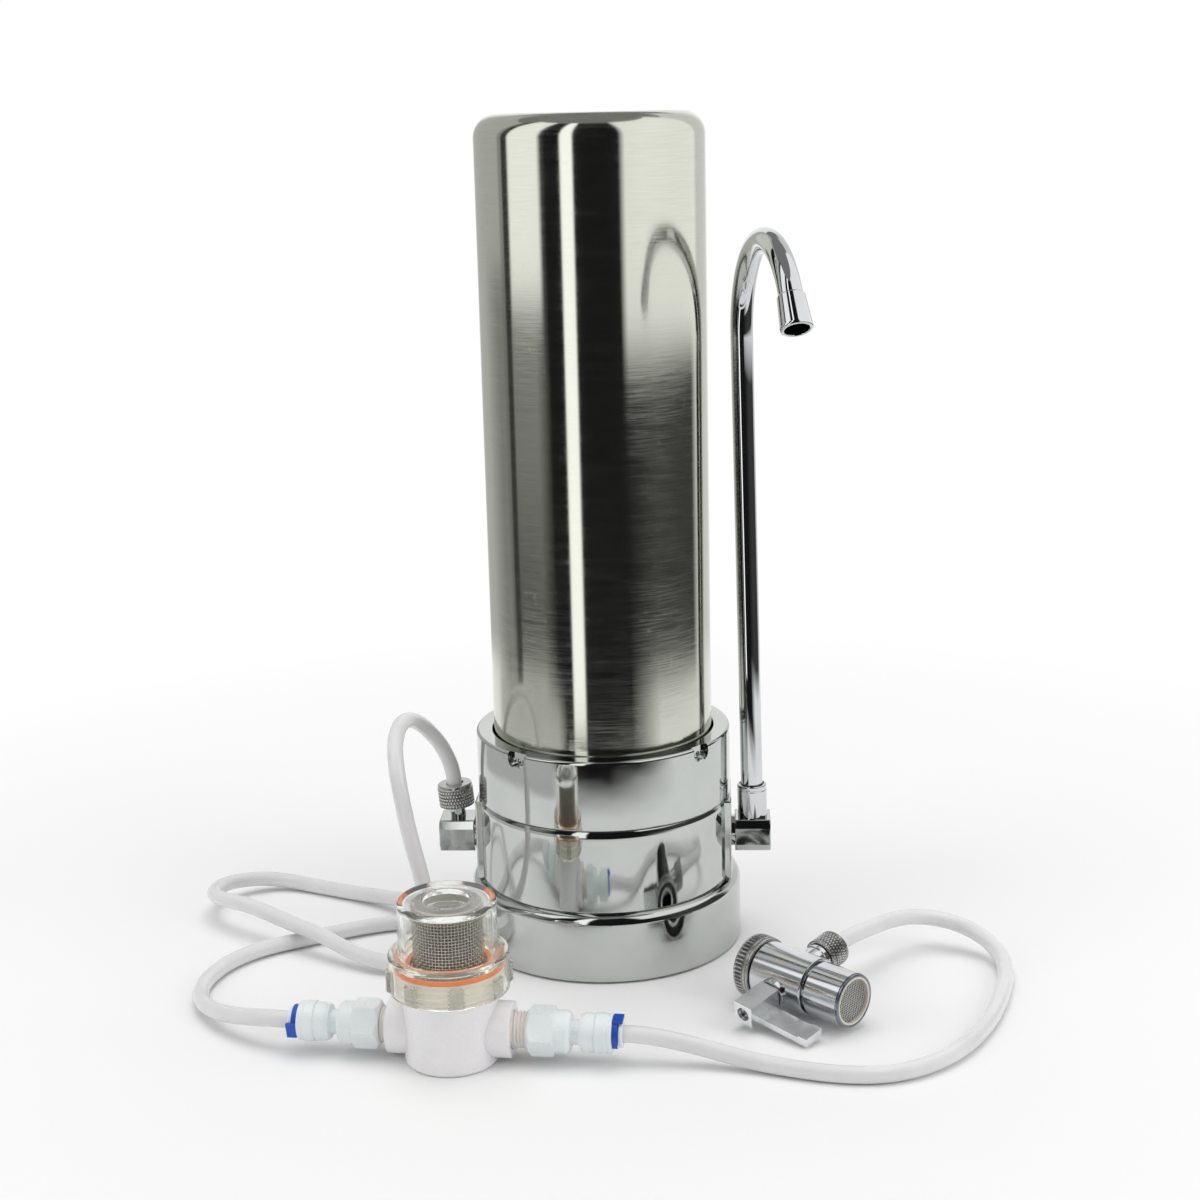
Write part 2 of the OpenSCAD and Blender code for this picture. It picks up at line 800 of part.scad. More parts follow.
module block() {
    translate([block_x0, 0, port_z])
        rotate([90, 0, 90])
            linear_extrude(block_len)
                polygon([[-block_w / 2, -block_h / 2 + block_cut_h], [-block_w / 2 + block_cut_w, -block_h / 2],
                    [block_w / 2 - block_cut_w, -block_h / 2], [block_w / 2, -block_h / 2 + block_cut_h],
                    [block_w / 2, block_h / 2 - block_cut_h], [block_w / 2 - block_cut_w, block_h / 2],
                    [-block_w / 2 + block_cut_w, block_h / 2], [-block_w / 2, block_h / 2 - block_cut_h]]);
}

module block_bores() {
    translate([0, 0, port_z])
        along_x() {
            rod(port_thread_r, block_x0 - 1, block_x0 + block_thread_len);
            rod(passage_r, block_x0, port_x + passage_r);
        }
}

module inlet_elbow() {
    color("gainsboro")
        difference() {
            side(-1)
                block();
            side(-1)
                block_bores();
            at_inlet() {
                rod(stem_r + fixed_gap, -down_len + 1, 2);
                rod(stem_bore_r, -down_len, 0);
            }
        }
}

module outlet_elbow() {
    color("gainsboro")
        difference() {
            block();
            block_bores();
            at_spout() {
                rod(foot_r + fixed_gap, -foot_depth, 1);
                rod(socket_r + 0.2, -0.3, 2);
                rod(drop_r, -down_len, 0);
            }
        }
}

// Inlet fitting

module inlet_stem() {
    color("gainsboro")
        at_inlet()
            difference() {
                union() {
                    rod(stem_r, -down_len + 1.2, stem_h + 0.5);
                    ring(0, stem_head_r, stem_h, stem_top, 0.4, 0.4);
                }
                rod(stem_bore_r, -down_len, stem_top + 1);
            }
}

module inlet_ferrule() {
    color("goldenrod")
        at_inlet()
            ring(tube_r + 0.1, ferrule_r, stem_top, stem_top + ferrule_t);
}

module inlet_nut() {
    color("silver")
        at_inlet()
            difference() {
                ring(0, inlet_nut_r, nut_z0, nut_z0 + inlet_nut_h, 0.7, 0.7);
                rod(stem_head_r + thread_gap, nut_z0 - 1, nut_shoulder);
                rod(tube_hole_r, nut_z0, nut_z0 + inlet_nut_h + 1);
            }
}

// Spout

module spout_socket() {
    color("gainsboro")
        at_spout()
            difference() {
                union() {
                    ring(0, socket_r, -0.3, socket_h, 0.5);
                    rod(foot_r, -foot_depth, 1);
                }
                rod(socket_bore_r, socket_floor, socket_h + 1);
                rod(passage_r, -down_len, socket_floor + 1);
                rod(socket_bore_r + 0.7, socket_h - 1, socket_h + 1);
                for (i = [1, 2])
                    ring(pipe_r, pipe_r + socket_ring_d, socket_floor + i * ring_pitch - socket_ring_d * 0.6,
                        socket_floor + i * ring_pitch + socket_ring_d * 0.6);
            }
}

module spout_orings() {
    color("black")
        at_spout()
            for (i = [1, 2])
                o_ring(pipe_r + swivel_gap + socket_ring_d / 2 - 0.03, socket_ring_d - 0.06,
                    socket_floor + i * ring_pitch);
}

module spout_pipe() {
    color("gainsboro")
        at_spout() {
            ring(pipe_r - pipe_wall, pipe_r, socket_floor + face_gap, leg_len);
            translate([0, 0, leg_len])
                rotate([0, 0, spout_turn])
                    translate([bend_r, 0, 0])
                        rotate([90, 0, 0])
                            rotate([0, 0, 180 - bend_angle])
                                rotate_extrude(angle = bend_angle, $fn = round_fn)
                                    translate([bend_r, 0])
                                        difference() {
                                            circle(pipe_r, $fn = round_fn);
                                            circle(pipe_r - pipe_wall, $fn = round_fn);
                                        }
        }
}

module spout_nozzle() {
    color("gainsboro")
        at_nozzle()
            difference() {
                union() {
                    cylinder(r1 = nozzle_r, r2 = nozzle_mouth_r, h = nozzle_len - 1, $fn = round_fn);
                    ring(0, nozzle_mouth_r, nozzle_len - 1, nozzle_len, 0.8);
                }
                rod(pipe_r - pipe_wall, -1, nozzle_len);
                rod(nozzle_bore_r, 3, nozzle_len + 1);
            }
}

// Strainer

module strainer_tee() {
    color("mistyrose")
        at_strainer()
            difference() {
                union() {
                    ring(0, tee_r, 0, tee_h, 0, 1.5);
                    rod(tee_neck_r, tee_h - 1, tee_neck_z);
                    translate([0, 0, tee_port_z])
                        along_x()
                            rod(tee_socket_r, -tee_socket_x, tee_socket_x);
                }
                rod(tee_chamber_r, 3.5, tee_neck_z + 1);
                rod(screen_r + 0.5, tee_neck_z - 4, tee_neck_z + 1);
                translate([0, 0, tee_port_z])
                    along_x()
                        for (s = [-1, 1])
                            mirror([0, 0, s < 0 ? 1 : 0]) {
                                rod(fit_thread_r, thread_x0 - 0.2, tee_socket_x + 1);
                                rod(passage_r, 0, tee_socket_x);
                            }
            }
}

module strainer_gasket() {
    color("orangered")
        at_strainer()
            ring(screen_r + 1, tee_neck_r, tee_neck_z, cap_z0);
}

module strainer_cap() {
    color("lightcyan", 0.5)
        at_strainer()
            difference() {
                union() {
                    ring(0, tee_neck_r, cap_z0, cap_z0 + strainer_flange_t, 0.4);
                    ring(0, strainer_cap_r, cap_z0, cap_z1, 1.5);
                }
                ring(screen_in_r - 0.1, strainer_cap_r - strainer_cap_wall, cap_z0 - 1, cap_z1 - 3 + 0.1);
                rod(screen_in_r, cap_z0 - 1, well_floor);
                rod(well_r, cap_z1 - well_depth, cap_z1 + 1);
            }
}

module strainer_screen() {
    color("gray")
        at_strainer()
            ring(screen_in_r, screen_r, screen_z0, screen_z1);
}

module strainer_ring() {
    color("lightcyan", 0.5)
        at_strainer()
            difference() {
                union() {
                    ring(0, ring_r, ring_z0, ring_z1, 1.2, 0.4);
                    for (i = [0 : lug_count - 1])
                        rotate([0, 0, 14 - strainer_turn - 90 + i * 360 / lug_count])
                            translate([0, -lug_w / 2, ring_z0 + 0.4])
                                cube([ring_r + lug_out, lug_w, lug_h]);
                }
                rod(ring_bore_r, ring_z0 - 1, ring_shoulder);
                rod(strainer_cap_r + thread_gap, ring_z0, ring_z1 + 1);
            }
}

// Push fittings

module fitting_body(s) {
    color("aliceblue")
        on_fitting(s)
            difference() {
                union() {
                    rod(fit_thread_r - fixed_gap, thread_x0, hex_x + 1);
                    translate([0, 0, hex_x])
                        cylinder(r = hex_af / sqrt(3), h = hex_len, $fn = 6);
                    ring(0, shoulder_r, shoulder_x - 1, fit_neck_x, 0.8);
                    rod(fit_neck_r, fit_neck_x - 1, barrel_x + 1);
                    ring(0, barrel_r, barrel_x, face_x, 0.8, 0.8);
                }
                rod(passage_r, thread_x0 - 1, tube_stop + 1);
                rod(tube_bore_r, tube_stop, face_x + 1);
                rod(collet_r + 0.15, collet_seat, face_x + 1);
                ring(tube_r, tube_bore_r + fit_ring_d, fit_ring_x - fit_ring_d * 0.6,
                    fit_ring_x + fit_ring_d * 0.6);
            }
}

module fitting_body_a() {
    fitting_body(-1);
}

module fitting_body_b() {
    fitting_body(1);
}

module fitting_orings() {
    color("black")
        for (s = [-1, 1])
            on_fitting(s)
                o_ring(tube_bore_r + fit_ring_d / 2, fit_ring_d, fit_ring_x);
}

module collet(s) {
    color("aliceblue")
        on_fitting(s)
            difference() {
                union() {
                    rod(collet_r, face_x - collet_in, collet_x + 0.5);
                    ring(0, collet_flange_r, collet_x, collet_end, 0.5);
                }
                rod(tube_bore_r, 0, collet_end + 1);
            }
}

module collet_a() {
    collet(-1);
}

module collet_b() {
    collet(1);
}

// Turned so that the tab points to the front at 0 and up at 90
module lock_clip(s, turn) {
    color("blue")
        on_fitting(s)
            rotate([0, 0, s < 0 ? 270 + turn : 90 - turn])
                difference() {
                    union() {
                        rod(clip_r, face_x + clip_gap, face_x + clip_gap + clip_t);
                        translate([-clip_r - 0.6, -clip_tab_w / 2, face_x + clip_gap])
                            cube([clip_r - collet_flange_r + 0.3, clip_tab_w, clip_t + clip_tab_len]);
                    }
                    rod(collet_r + face_gap, face_x - 1, face_x + clip_t + 1);
                    translate([0, -collet_r - face_gap, face_x - 1])
                        cube([clip_r + 2, 2 * collet_r + 2 * face_gap, clip_t + 2]);
                }
}

module lock_clip_a() {
    lock_clip(-1, clip_a_turn);
}

module lock_clip_b() {
    lock_clip(1, clip_b_turn);
}

// Tubes

function unit(v) = v / norm(v);
function heading(p, i) = unit(p[min(i + 1, len(p) - 1)] - p[max(i - 1, 0)]);
function across(n, t) = unit(n - (n * t) * t);
function normals(p, n, i = 0) =
    i >= len(p) ? [] : let (m = across(n, heading(p, i))) concat([m], normals(p, m, i + 1));
function tube_points(p, n, sides) = [
    for (i = [0 : len(p) - 1])
        let (t = heading(p, i), m = n[i], b = cross(t, m))
            for (k = [0 : sides - 1])
                p[i] + tube_r * (cos(k * 360 / sides) * m + sin(k * 360 / sides) * b)];
function tube_faces(rings, sides) = concat(
    [[for (k = [0 : sides - 1]) k]],
    [for (i = [0 : rings - 2])
        for (k = [0 : sides - 1])
            [i * sides + k, (i + 1) * sides + k, (i + 1) * sides + (k + 1) % sides]],
    [for (i = [0 : rings - 2])
        for (k = [0 : sides - 1])
            [i * sides + k, (i + 1) * sides + (k + 1) % sides, i * sides + (k + 1) % sides]],
    [[for (k = [0 : sides - 1]) rings * sides - 1 - k]]);

module tube(route, start) {
    color("white")
        polyhedron(points = tube_points(route, normals(route, start), 10),
            faces = tube_faces(len(route), 10), convexity = 6);
}

module inlet_tube() {
    tube(INLET_ROUTE, [0, 1, 0]);
}

module supply_tube() {
    tube(SUPPLY_ROUTE, [0, 0, 1]);
}

// Diverter

module diverter_body() {
    color("gainsboro")
        at_diverter()
            difference() {
                union() {
                    along_x() {
                        rod(flange_in_r, tap_seat, tap_seat + flange_in_t);
                        rod(spigot_in_r, tap_seat, body_x + 1);
                        ring(0, diverter_r, body_x, body_end, 0.6, 0.6);
                        rod(outlet_bore_r - fixed_gap, body_end - 1, sleeve_x + 6);
                    }
                    on_lever_axis()
                        rod(valve_r + 2, chamber_r, boss_y);
                    on_tube_port() {
                        rod(side_port_r, chamber_r, side_port_y);
                        rod(stem_head_r, chamber_r, tube_seat_y);
                    }
                }
                along_x() {
                    rod(spigot_in_r - 2, tap_seat - 1, body_x + 2);
                    rod(chamber_r - 1, body_x + 1, sleeve_x + 7);
                }
                on_lever_axis()
                    rod(valve_r + swivel_gap, -chamber_r - 1.5, boss_y + 1);
                on_tube_port()
                    rod(stem_bore_r, 0, tube_seat_y + 1);
            }
}

module diverter_nut() {
    color("silver")
        at_diverter()
            along_x()
                difference() {
                    ring(0, swivel_r, 0, swivel_len, 0.8, 0.5);
                    rod(tap_thread_r, -1, swivel_len - lip_t);
                    rod(recess_r, tap_thread_len, swivel_len - lip_t);
                    rod(spigot_in_r + thread_gap, 0, swivel_len + 1);
                }
}

module diverter_washer() {
    color("black")
        at_diverter()
            along_x()
                ring(spigot_in_r - 2, flange_in_r, tap_seat - tap_washer_t, tap_seat);
}

module diverter_outlet() {
    color("gainsboro")
        at_diverter()
            along_x()
                difference() {
                    ring(0, outlet_r, sleeve_x, diverter_end, 0.5, 0.5);
                    rod(outlet_bore_r, sleeve_x - 1, diverter_end + 1);
                }
}

module diverter_ring() {
    color("wheat")
        at_diverter()
            along_x()
                ring(outlet_bore_r - outlet_ring_w, outlet_bore_r - fixed_gap, sleeve_x + 6,
                    diverter_end - 0.2);
}

module diverter_screen() {
    color("gray")
        at_diverter()
            along_x()
                rod(outlet_bore_r - outlet_ring_w, diverter_end - outlet_screen_in - 1,
                    diverter_end - outlet_screen_in);
}

module diverter_stem() {
    color("goldenrod")
        at_diverter()
            on_lever_axis()
                difference() {
                    union() {
                        rod(valve_r, -chamber_r - 1.3, hub_y);
                        translate([-valve_r * 0.6, -valve_r * 0.6, hub_y - 1])
                            cube([valve_r * 1.2, valve_r * 1.2, 9]);
                    }
                    for (z = [boss_y - 1.5])
                        ring(valve_r - 0.9, valve_r + 1, z - 0.6, z + 0.6);
                    rod(0.9, hub_y + 2, hub_y + 10);
                    rotate([90, 0, 0])
                        rod(valve_r * 0.5, -valve_r - 1, valve_r + 1);
                }
}

module stem_orings() {
    color("black")
        at_diverter()
            on_lever_axis()
                o_ring(valve_r - 0.45, 0.9, boss_y - 1.5);
}

module diverter_lever() {
    color("gainsboro")
        at_diverter()
            on_lever_axis()
                rotate([0, 0, -arm_droop])
                    difference() {
                        union() {
                            translate([-hub_w / 2, -hub_w / 2, hub_y])
                                cube([hub_w, hub_w, hub_reach - hub_y]);
                            translate([0, -hub_w / 2, hub_y + 3])
                                cube([arm_len, arm_t, arm_w]);
                            translate([arm_len - 4, -hub_w / 2, hub_y + 3])
                                cube([4, arm_t + 0.8, arm_w]);
                        }
                        rotate([0, 0, arm_droop])
                            translate([-valve_r * 0.6 - fixed_gap, -valve_r * 0.6 - fixed_gap, hub_y - 1])
                                cube([valve_r * 1.2 + 2 * fixed_gap, valve_r * 1.2 + 2 * fixed_gap, 9.2]);
                        rod(lever_screw_r + 0.3, hub_reach - 4, hub_reach + 1);
                        rod(1.2, hub_y, hub_reach);
                    }
}

module lever_screw() {
    color("silver")
        at_diverter()
            on_lever_axis() {
                rod(lever_screw_r, hub_reach - 4, hub_reach - 2);
                rod(0.85, hub_y + 4, hub_reach - 3);
            }
}

module diverter_ferrule() {
    color("goldenrod")
        at_diverter()
            on_tube_port()
                ring(tube_r + 0.1, ferrule_r, tube_seat_y, tube_seat_y + ferrule_t);
}

module diverter_tube_nut() {
    color("silver")
        at_diverter()
            on_tube_port()
                difference() {
                    ring(0, tube_nut_r, tube_nut_y, tube_nut_y + tube_nut_len, 0.6, 0.6);
                    rod(stem_head_r + thread_gap, tube_nut_y - 1, tube_nut_shoulder);
                    rod(tube_hole_r, tube_nut_y, tube_nut_y + tube_nut_len + 1);
                }
}

base_skirt();
foot_pad();
base_screws();
head_body();
canister_seal();
canister();
clamp_collar();
cartridge_bottom_cap();
cartridge_oring();
cartridge_shell();
cartridge_media();
cartridge_top_cap();
port_seals();
inlet_nipple();
outlet_nipple();
inlet_elbow();
outlet_elbow();
inlet_stem();
inlet_ferrule();
inlet_nut();
spout_socket();
spout_orings();
spout_pipe();
spout_nozzle();
strainer_tee();
strainer_gasket();
strainer_cap();
strainer_screen();
strainer_ring();
fitting_body_a();
fitting_body_b();
fitting_orings();
collet_a();
collet_b();
lock_clip_a();
lock_clip_b();
inlet_tube();
supply_tube();
diverter_body();
diverter_nut();
diverter_washer();
diverter_outlet();
diverter_ring();
diverter_screen();
diverter_stem();
stem_orings();
diverter_lever();
lever_screw();
diverter_ferrule();
diverter_tube_nut();
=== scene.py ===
import math
import bmesh
import bpy
from mathutils import Matrix, Vector


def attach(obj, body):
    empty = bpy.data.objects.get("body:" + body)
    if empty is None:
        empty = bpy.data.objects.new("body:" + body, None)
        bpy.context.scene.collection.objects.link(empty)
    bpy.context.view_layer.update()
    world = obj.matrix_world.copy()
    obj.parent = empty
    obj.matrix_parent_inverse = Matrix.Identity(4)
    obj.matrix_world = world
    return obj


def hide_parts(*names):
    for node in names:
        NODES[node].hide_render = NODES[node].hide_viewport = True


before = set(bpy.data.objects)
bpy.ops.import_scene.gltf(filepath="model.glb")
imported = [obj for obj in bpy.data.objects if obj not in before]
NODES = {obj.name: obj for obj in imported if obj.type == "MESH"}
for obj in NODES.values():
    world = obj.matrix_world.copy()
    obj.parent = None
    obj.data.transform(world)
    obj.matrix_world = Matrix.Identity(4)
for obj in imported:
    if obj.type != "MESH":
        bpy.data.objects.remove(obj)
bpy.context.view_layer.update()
scene = bpy.context.scene
MM = 0.001
FULL_TURN = 2 * math.pi
CREASE = 32


# Places of the part's own axes, in millimetres and degrees
def turn(axis, degrees):
    return Matrix.Rotation(math.radians(degrees), 4, axis)


def move(x, y, z):
    return Matrix.Translation((x, y, z))


STAND = Matrix.Identity(4)
ALONG_X = turn("Y", 90)
PORT_Z, PORT_X, BLOCK_TOP = 44.5, 61.7, 51.2
LEG, BEND_R, BEND, SPOUT_TURN = 199.0, 40.0, math.radians(147), -76.6
INLET = move(-PORT_X, 0, BLOCK_TOP) @ turn("Y", -5)
SPOUT = move(PORT_X, 0, BLOCK_TOP) @ turn("Y", -0.96)
SPOUT_BEND = SPOUT @ move(0, 0, LEG) @ turn("Z", SPOUT_TURN)
STRAINER = move(-51, -119, 0) @ turn("Z", -5)
STRAINER_PORTS = STRAINER @ move(0, 0, 12)
FITTING_A = STRAINER_PORTS @ turn("Z", 180) @ ALONG_X
FITTING_B = STRAINER_PORTS @ ALONG_X
FITTING_B_OUT = 2.6
DIVERTER = move(60.7, -64.3, 12.5) @ turn("Z", -42) @ turn("X", 10)
DIVERTER_BARREL = DIVERTER @ ALONG_X
VALVE = DIVERTER @ move(19.5, 0, 0)
LEVER_AXIS = VALVE @ turn("X", 90)
TUBE_PORT = VALVE @ turn("X", -90)


# A place on the gooseneck's arc, with Z along the pipe
def on_bend(angle):
    out, up = BEND_R * (1 - math.cos(angle)), BEND_R * math.sin(angle)
    return SPOUT_BEND @ move(out, 0, up) @ Matrix.Rotation(angle, 4, "Y")


# Camera at the photograph's place, 13.7 degrees down and a little rolled
def make_camera():
    data = bpy.data.cameras.new("photo_camera")
    data.sensor_width, data.lens = 36.0, 59.637
    data.clip_start, data.clip_end = 0.01, 50
    yaw, pitch, roll = math.radians(3.5), math.radians(13.69), math.radians(1.34)
    at = Vector((0.04818, -0.78770, 0.33615))
    ahead = Vector((-math.sin(yaw), math.cos(yaw), 0))
    right = Vector((math.cos(yaw), math.sin(yaw), 0))
    look = ahead * math.cos(pitch) - Vector((0, 0, math.sin(pitch)))
    over = ahead * math.sin(pitch) + Vector((0, 0, math.cos(pitch)))
    x = right * math.cos(roll) - over * math.sin(roll)
    y = right * math.sin(roll) + over * math.cos(roll)
    camera = bpy.data.objects.new("photo_camera", data)
    camera.matrix_world = Matrix((
        (x.x, y.x, -look.x, at.x), (x.y, y.y, -look.y, at.y),
        (x.z, y.z, -look.z, at.z), (0, 0, 0, 1)))
    scene.collection.objects.link(camera)
    scene.camera = camera


make_camera()


# Shader helpers
def add(tree, kind, **settings):
    n = tree.nodes.new(kind)
    for key, value in settings.items():
        setattr(n, key, value)
    return n


def put(n, **values):
    for key, value in values.items():
        n.inputs[key.replace("_", " ")].default_value = value
    return n


def math_node(tree, operation, a, b=None):
    n = add(tree, "ShaderNodeMath", operation=operation)
    for i, v in enumerate((a, b)):
        if v is None:
            continue
        if isinstance(v, (int, float)):
            n.inputs[i].default_value = v
        else:
            tree.links.new(v, n.inputs[i])
    return n.outputs[0]


def ramp(tree, value, low, high, to_low=0.0, to_high=1.0):
    n = add(tree, "ShaderNodeMapRange")
    put(n, From_Min=low, From_Max=high, To_Min=to_low, To_Max=to_high)
    tree.links.new(value, n.inputs["Value"])
    return n.outputs["Result"]


def noise(tree, vector, scale, detail):
    n = put(add(tree, "ShaderNodeTexNoise"), Scale=scale, Detail=detail, Roughness=0.55)
    tree.links.new(vector, n.inputs["Vector"])
    return n.outputs["Fac"]


def shader_group(name, inputs, outputs):
    group = bpy.data.node_groups.new(name, "ShaderNodeTree")
    for label, default in inputs:
        socket = group.interface.new_socket(label, in_out="INPUT", socket_type="NodeSocketFloat")
        socket.default_value = default
    for label, kind in outputs:
        group.interface.new_socket(label, in_out="OUTPUT", socket_type=kind)
    return group, add(group, "NodeGroupInput"), add(group, "NodeGroupOutput")


# Smudges, grain and fine scuffs that handling leaves on any of the finishes
def make_handling_marks():
    group, into, out = shader_group("handling_marks", [("Size", 1.0)], [
        ("Patches", "NodeSocketFloat"), ("Grain", "NodeSocketFloat"),
        ("Scuffs", "NodeSocketFloat")])
    place = add(group, "ShaderNodeTexCoord")
    grow = add(group, "ShaderNodeVectorMath", operation="SCALE")
    group.links.new(place.outputs["Object"], grow.inputs[0])
    group.links.new(into.outputs["Size"], grow.inputs["Scale"])
    point = grow.outputs[0]
    patches = ramp(group, noise(group, point, 42, 4), 0.32, 0.68)
    grain = noise(group, point, 1900, 2)
    long = add(group, "ShaderNodeMapping")
    put(long, Rotation=(0.5, 0.3, 0.9), Scale=(60, 1100, 420))
    group.links.new(point, long.inputs["Vector"])
    scuffs = ramp(group, noise(group, long.outputs[0], 1.0, 2), 0.62, 0.78)
    for label, value in (("Patches", patches), ("Grain", grain), ("Scuffs", scuffs)):
        group.links.new(value, out.inputs[label])
    return group


# Lines of a brush or a lathe tool that run round the Z axis
def make_turned_lines():
    group, into, out = shader_group("turned_lines", [("Fineness", 1.0)], [
        ("Lines", "NodeSocketFloat"), ("Bands", "NodeSocketFloat")])
    lines_per_metre, bands_per_metre = 1900.0, 260.0
    place = add(group, "ShaderNodeTexCoord")
    split = add(group, "ShaderNodeSeparateXYZ")
    group.links.new(place.outputs["Object"], split.inputs[0])
    angle = math_node(group, "ARCTAN2", split.outputs["Y"], split.outputs["X"])
    fold = math_node(group, "ABSOLUTE", angle)
    fine = math_node(group, "MULTIPLY", split.outputs["Z"], lines_per_metre)
    fine = math_node(group, "MULTIPLY", fine, into.outputs["Fineness"])
    broad = math_node(group, "MULTIPLY", split.outputs["Z"], bands_per_metre)
    for label, around, height, detail in (("Lines", 3.0, fine, 3), ("Bands", 1.5, broad, 4)):
        flat = add(group, "ShaderNodeCombineXYZ")
        group.links.new(math_node(group, "MULTIPLY", fold, around), flat.inputs["X"])
        group.links.new(height, flat.inputs["Y"])
        group.links.new(noise(group, flat.outputs[0], 1.0, detail), out.inputs[label])
    return group


# Shallow waviness of a plated casting, as a normal
def make_cast_ripple():
    group, into, out = shader_group("cast_ripple", [("Depth", 0.1)],
                                    [("Normal", "NodeSocketVector")])
    place = add(group, "ShaderNodeTexCoord")
    wave = noise(group, place.outputs["Object"], 34, 2)
    bump = put(add(group, "ShaderNodeBump"), Distance=0.001)
    group.links.new(into.outputs["Depth"], bump.inputs["Strength"])
    group.links.new(wave, bump.inputs["Height"])
    group.links.new(bump.outputs[0], out.inputs["Normal"])
    return group


MARKS = make_handling_marks()
LINES = make_turned_lines()
RIPPLE = make_cast_ripple()


def new_material(name):
    material = bpy.data.materials.new(name)
    material.use_nodes = True
    tree = material.node_tree
    return material, tree, tree.nodes["Principled BSDF"]


def place_group(tree, group, **values):
    return put(add(tree, "ShaderNodeGroup", node_tree=group), **values)


def tint(tree, surface, mask, dark, light):
    n = add(tree, "ShaderNodeMix", data_type="RGBA")
    tree.links.new(mask, n.inputs[0])
    n.inputs[6].default_value, n.inputs[7].default_value = (*dark, 1), (*light, 1)
    tree.links.new(n.outputs[2], surface.inputs["Base Color"])


def wear(tree, surface, rough, marks, share):
    scuffed = math_node(tree, "MULTIPLY", marks.outputs["Scuffs"], share)
    tree.links.new(math_node(tree, "ADD", rough, scuffed), surface.inputs["Roughness"])


def shade(tree, surface, height, strength, distance):
    bump = put(add(tree, "ShaderNodeBump"), Strength=strength, Distance=distance)
    tree.links.new(height, bump.inputs["Height"])
    tree.links.new(bump.outputs[0], surface.inputs["Normal"])


def mix_surfaces(tree, factor, first, second):
    both = add(tree, "ShaderNodeMixShader")
    tree.links.new(factor, both.inputs[0])
    tree.links.new(first.outputs[0], both.inputs[1])
    tree.links.new(second.outputs[0], both.inputs[2])
    tree.links.new(both.outputs[0], tree.nodes["Material Output"].inputs["Surface"])


# Polished plating: nearly a mirror, with smudges that dull it in patches
def make_chrome(name, light, dark, ripple=0.12, smooth=0.035, dull=0.09):
    material, tree, surface = new_material(name)
    marks = place_group(tree, MARKS, Size=1.0)
    wave = place_group(tree, RIPPLE, Depth=ripple)
    patches = marks.outputs["Patches"]
    put(surface, Metallic=1.0)
    tint(tree, surface, patches, dark, light)
    wear(tree, surface, ramp(tree, patches, 0, 1, smooth, dull), marks, 0.05)
    tree.links.new(wave.outputs["Normal"], surface.inputs["Normal"])
    return material


# Stainless sheet, brushed round the canister: sharp across, blurred along Z
def make_brushed_sheet():
    material, tree, surface = new_material("brushed_sheet")
    marks = place_group(tree, MARKS, Size=0.7)
    lines = place_group(tree, LINES, Fineness=1.0)
    put(surface, Metallic=1.0, Anisotropic=0.85, Anisotropic_Rotation=0.25)
    around = add(tree, "ShaderNodeTangent", direction_type="RADIAL", axis="Z")
    tree.links.new(around.outputs[0], surface.inputs["Tangent"])
    tone = math_node(tree, "ADD", math_node(tree, "MULTIPLY", lines.outputs["Lines"], 0.7),
                     math_node(tree, "MULTIPLY", lines.outputs["Bands"], 0.3))
    tint(tree, surface, ramp(tree, tone, 0.3, 0.7), (0.595, 0.605, 0.53), (0.665, 0.675, 0.60))
    wear(tree, surface, ramp(tree, tone, 0.3, 0.7, 0.06, 0.18), marks, 0.05)
    shade(tree, surface, lines.outputs["Lines"], 0.09, 0.00006)
    return material


# Bare machined metal of the knurled nuts, screws and wires
def make_machined(name, light, dark, low, high):
    material, tree, surface = new_material(name)
    marks = place_group(tree, MARKS, Size=1.6)
    grain = marks.outputs["Grain"]
    put(surface, Metallic=1.0)
    tint(tree, surface, marks.outputs["Patches"], dark, light)
    tree.links.new(ramp(tree, grain, 0.3, 0.7, low, high), surface.inputs["Roughness"])
    shade(tree, surface, grain, 0.15, 0.0001)
    return material


# Moulded plastic and rubber: faint flow patches in the colour, a fine skin grain
def make_moulded(name, light, dark, low, high, bump=0.06, through=0.0, coat=0.0):
    material, tree, surface = new_material(name)
    marks = place_group(tree, MARKS, Size=1.3)
    grain = marks.outputs["Grain"]
    put(surface, Coat_Weight=coat, Coat_Roughness=0.12)
    if through:
        put(surface, Subsurface_Weight=through, Subsurface_Scale=0.002,
            Subsurface_Radius=(1.0, 0.95, 0.9))
    tint(tree, surface, marks.outputs["Patches"], dark, light)
    wear(tree, surface, ramp(tree, grain, 0.3, 0.7, low, high), marks, 0.06)
    shade(tree, surface, grain, bump, 0.0002)
    return material


# Clear moulding: shadow and bounced light go straight through it
def make_clear(name, light, dark, see_through, bend):
    material, tree, surface = new_material(name)
    marks = place_group(tree, MARKS, Size=1.1)
    patches = marks.outputs["Patches"]
    put(surface, Transmission_Weight=see_through, IOR=bend)
    tint(tree, surface, patches, dark, light)
    wear(tree, surface, ramp(tree, patches, 0, 1, 0.02, 0.06), marks, 0.08)
    rays = add(tree, "ShaderNodeLightPath")
    passing = math_node(tree, "MAXIMUM", rays.outputs["Is Shadow Ray"],
                        rays.outputs["Is Diffuse Ray"])
    clear = put(add(tree, "ShaderNodeBsdfTransparent"), Color=(*light, 1))
    mix_surfaces(tree, passing, surface, clear)
    return material


